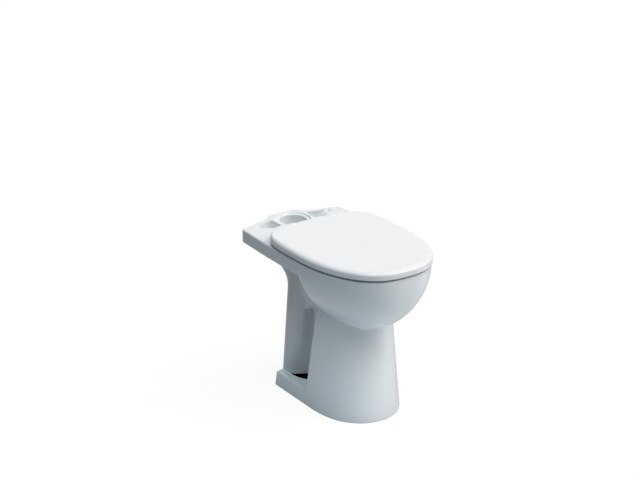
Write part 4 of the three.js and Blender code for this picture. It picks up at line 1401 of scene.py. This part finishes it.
class ToiletStage(bpy.types.PropertyGroup):
    floor: colour_property("Floor", "Colour of the floor", (0.12, 0.12, 0.12))
    floor_glow: bpy.props.FloatProperty(
        name="Floor glow", description="What the camera sees on top of the floor's light", default=0.9
    )
    sky_strength: bpy.props.FloatProperty(
        name="Sky strength", description="Level of the soft lights of the sky", default=1.0
    )
    lens: bpy.props.FloatProperty(name="Lens", description="Focal length", unit="CAMERA", default=90.16)


# Operators


class ToiletOperator:
    bl_options = {"REGISTER", "UNDO"}


class TOILET_OT_pan(ToiletOperator, bpy.types.Operator):
    """Builds the glazed pan"""

    bl_idname = "toilet.pan"
    bl_label = "Pan"

    def execute(self, context):
        sizes = context.scene.toilet_sizes
        grain = sizes.pan_grain * 1
        dressed(pan_mesh(grain, sizes.glaze_rounding, sizes.pan_triangles), "pan", "root", "china")
        return {"FINISHED"}


class TOILET_OT_seat(ToiletOperator, bpy.types.Operator):
    """Builds the seat ring with its buffers and hinge bushes"""

    bl_idname = "toilet.seat"
    bl_label = "Seat"

    def execute(self, context):
        dressed(seat_mesh(), "seat_ring", "seat", "seat")
        for side, name in SIDES:
            for end in ("front", "rear"):
                node = f"seat_buffer_{end}_{name}"
                dressed(buffer_mesh(node, f"seat_rest_{end}_{name}"), node, "seat", "buffer")
            bush = eye_bush_mesh("seat", side, name)
            dressed(bush, f"seat_hinge_bush_{name}", "seat", "nylon")
        return {"FINISHED"}


class TOILET_OT_lid(ToiletOperator, bpy.types.Operator):
    """Builds the lid with its buffers and hinge bushes"""

    bl_idname = "toilet.lid"
    bl_label = "Lid"

    def execute(self, context):
        dressed(lid_mesh(), "lid", "lid", "lid")
        for side, name in SIDES:
            node = f"lid_buffer_{name}"
            dressed(buffer_mesh(node, f"lid_rest_{name}"), node, "lid", "buffer")
            bush = eye_bush_mesh("lid", side, name)
            dressed(bush, f"lid_hinge_bush_{name}", "lid", "nylon")
        return {"FINISHED"}


class TOILET_OT_hinges(ToiletOperator, bpy.types.Operator):
    """Builds the hinge posts, their washers and pins"""

    bl_idname = "toilet.hinges"
    bl_label = "Hinges"

    def execute(self, context):
        for _, name in SIDES:
            dressed(post_mesh(name), f"hinge_post_{name}", "root", "hinge_post")
            dressed(washer_mesh(name), f"hinge_washer_{name}", "root", "black_rubber")
            dressed(pin_mesh(name), f"hinge_pin_{name}", "root", "steel")
        return {"FINISHED"}


class TOILET_OT_fixings(ToiletOperator, bpy.types.Operator):
    """Builds the studs, expansion bushes and nuts that hold the hinges down"""

    bl_idname = "toilet.fixings"
    bl_label = "Fixings"

    def execute(self, context):
        sizes = context.scene.toilet_sizes
        rod, rod_sockets = threaded_rod_tree(finish_of("steel"))
        ribs, rib_sockets = ribbed_sleeve_tree(finish_of("black_rubber"))
        for _, name in SIDES:
            stud = stud_mesh(name, rod, rod_sockets, sizes.thread_pitch)
            dressed(stud, f"hinge_stud_{name}", "root", "steel")
            sleeve = bush_mesh(name, ribs, rib_sockets, sizes.rib_count)
            dressed(sleeve, f"expansion_bush_{name}", "root", "black_rubber")
            dressed(nut_mesh(name), f"bush_nut_{name}", "root", "brass")
        return {"FINISHED"}


class TOILET_OT_stage(ToiletOperator, bpy.types.Operator):
    """Builds the floor, the lights and the camera"""

    bl_idname = "toilet.stage"
    bl_label = "Stage"

    def execute(self, context):
        stage = context.scene.toilet_stage
        make_floor(stage)
        make_world(stage)
        make_camera(stage)
        context.scene.view_settings.view_transform = "Standard"
        return {"FINISHED"}


# Stage


class LightTree(NodeTree):
    """Sums for the shaders of the floor and the world."""

    def maths(self, operation, first, second):
        return self.first("ShaderNodeMath", {0: first, 1: second}, operation=operation)

    def vectors(self, operation, first, second):
        return self.first("ShaderNodeVectorMath", {0: first, 1: second}, operation=operation)

    def length(self, vector):
        return self.add("ShaderNodeVectorMath", {0: vector}, operation="LENGTH").outputs["Value"]

    def facing(self, first, second):
        wires = {0: first, 1: second}
        return self.add("ShaderNodeVectorMath", wires, operation="DOT_PRODUCT").outputs["Value"]

    def spread(self, value, start, end, **settings):
        wires = {"Value": value, "From Min": start, "From Max": end}
        return self.add("ShaderNodeMapRange", wires, **settings).outputs["Result"]

    def seeing_rays(self):
        """How far a ray shows the background: wholly when it comes straight, partly when reflected."""
        path = self.add("ShaderNodeLightPath").outputs
        reflected = self.maths("MULTIPLY", path["Is Glossy Ray"], REFLECTED_SHARE)
        straight = self.maths("MAXIMUM", path["Is Camera Ray"], path["Is Transmission Ray"])
        return self.maths("MAXIMUM", straight, reflected)


def outside_painted_shadow(wiring, place_of):
    """Nothing under the leg and one elsewhere: a painted shadow that turns the floor black there."""
    offset = wiring.vectors("SUBTRACT", place_of, (0.0, DATUM - PAINTED_SHADOW_MIDDLE, 0.0))
    half_width, half_depth = PAINTED_SHADOW_HALF
    scaled = wiring.vectors("MULTIPLY", offset, (1 / half_width, 1 / half_depth, 0.0))
    return wiring.spread(wiring.length(scaled), *PAINTED_SHADOW_FADE)


def floor_pools(wiring, place_of):
    """Soft pools of light on the floor, which brighten the pan from below."""
    total = (0.0, 0.0, 0.0)
    for (x, y), reach, level in FLOOR_POOLS:
        distance = wiring.length(wiring.vectors("SUBTRACT", place_of, (x, y, 0.0)))
        pool = wiring.spread(distance, reach, POOL_CORE, interpolation_type="SMOOTHSTEP")
        total = wiring.vectors("ADD", wiring.vectors("MULTIPLY", level, pool), total)
    return total


def make_floor(stage):
    corners = [(x * FLOOR_HALF, y * FLOOR_HALF, 0) for x, y in ((-1, -1), (1, -1), (1, 1), (-1, 1))]
    floor = mesh_object("studio_floor", corners, [(0, 1, 2, 3)])
    material = bpy.data.materials.new("pale_studio_floor")
    material.use_nodes = True
    tree = material.node_tree
    wiring = LightTree(tree)
    shader = tree.nodes["Principled BSDF"]
    shader.inputs["Roughness"].default_value = 0.9
    shader.inputs["Specular IOR Level"].default_value = 0.0
    place_of = wiring.add("ShaderNodeTexCoord").outputs["Object"]
    # Painted shadow: the floor's colour and its glow are painted black in an oval under the leg
    unshadowed = outside_painted_shadow(wiring, place_of)
    shadowed_colour = wiring.vectors("MULTIPLY", tuple(stage.floor), unshadowed)
    seen = wiring.seeing_rays()
    pools = wiring.vectors("MULTIPLY", floor_pools(wiring, place_of), wiring.maths("SUBTRACT", 1.0, seen))
    glow = wiring.vectors("ADD", wiring.maths("MULTIPLY", seen, stage.floor_glow), pools)
    for socket, source in (("Base Color", shadowed_colour), ("Emission Color", glow), ("Emission Strength", unshadowed)):
        tree.links.new(source, shader.inputs[socket])
    floor.data.materials.append(material)


def make_world(stage):
    world = bpy.data.worlds.new("studio_world")
    bpy.context.scene.world = world
    world.use_nodes = True
    tree = world.node_tree
    wiring = LightTree(tree)
    direction = wiring.add("ShaderNodeTexCoord").outputs["Generated"]
    colour = (0.0, 0.0, 0.0)
    core = math.cos(math.radians(LOBE_CORE))
    for heading, height, width, level in SKY_LOBES:
        turn, climb = math.radians(heading), math.radians(height)
        towards = (math.cos(climb) * math.cos(turn), math.cos(climb) * math.sin(turn), math.sin(climb))
        facing = wiring.facing(direction, towards)
        lobe = wiring.spread(facing, math.cos(math.radians(width)), core, interpolation_type="SMOOTHSTEP")
        colour = wiring.vectors("ADD", wiring.vectors("MULTIPLY", level, lobe), colour)
    light = wiring.first("ShaderNodeBackground", {"Color": colour, "Strength": stage.sky_strength})
    seen = wiring.first("ShaderNodeBackground", {"Color": (1.0, 1.0, 1.0, 1.0)})
    mix = wiring.first("ShaderNodeMixShader", {"Fac": wiring.seeing_rays(), 1: light, 2: seen})
    tree.links.new(mix, tree.nodes["World Output"].inputs["Surface"])


def make_camera(stage):
    data = bpy.data.cameras.new("photo_camera")
    data.lens = stage.lens
    data.sensor_width = SENSOR_WIDTH
    camera = bpy.data.objects.new("photo_camera", data)
    bpy.context.scene.collection.objects.link(camera)
    camera.location = CAMERA_PLACE
    camera.rotation_euler = (math.radians(90 - CAMERA_TILT), 0.0, math.radians(-CAMERA_HEADING))
    bpy.context.scene.camera = camera


# Panel and registration


class TOILET_PT_panel(bpy.types.Panel):
    """Lists the pieces that can be built"""

    bl_idname = "TOILET_PT_panel"
    bl_label = "Toilet"
    bl_space_type = "VIEW_3D"
    bl_region_type = "UI"
    bl_category = "Toilet"

    def draw(self, context):
        layout = self.layout
        for group in (context.scene.toilet_sizes, context.scene.toilet_looks, context.scene.toilet_stage):
            column = layout.column(align=True)
            for key in group.bl_rna.properties.keys():
                if key not in ("name", "rna_type"):
                    column.prop(group, key)
        for operator in OPERATORS:
            layout.operator(operator.bl_idname)


OPERATORS = (
    TOILET_OT_stage,
    TOILET_OT_pan,
    TOILET_OT_seat,
    TOILET_OT_lid,
    TOILET_OT_hinges,
    TOILET_OT_fixings,
)
CLASSES = (ToiletSizes, ToiletLooks, ToiletStage, *OPERATORS, TOILET_PT_panel)


def register():
    for item in CLASSES:
        bpy.utils.register_class(item)
    bpy.types.Scene.toilet_sizes = bpy.props.PointerProperty(type=ToiletSizes)
    bpy.types.Scene.toilet_looks = bpy.props.PointerProperty(type=ToiletLooks)
    bpy.types.Scene.toilet_stage = bpy.props.PointerProperty(type=ToiletStage)


def unregister():
    del bpy.types.Scene.toilet_stage
    del bpy.types.Scene.toilet_looks
    del bpy.types.Scene.toilet_sizes
    for item in reversed(CLASSES):
        bpy.utils.unregister_class(item)


def main():
    register()
    bpy.ops.toilet.stage()
    bpy.ops.toilet.pan()
    bpy.ops.toilet.seat()
    bpy.ops.toilet.lid()
    bpy.ops.toilet.hinges()
    bpy.ops.toilet.fixings()


if __name__ == "__main__":
    main()
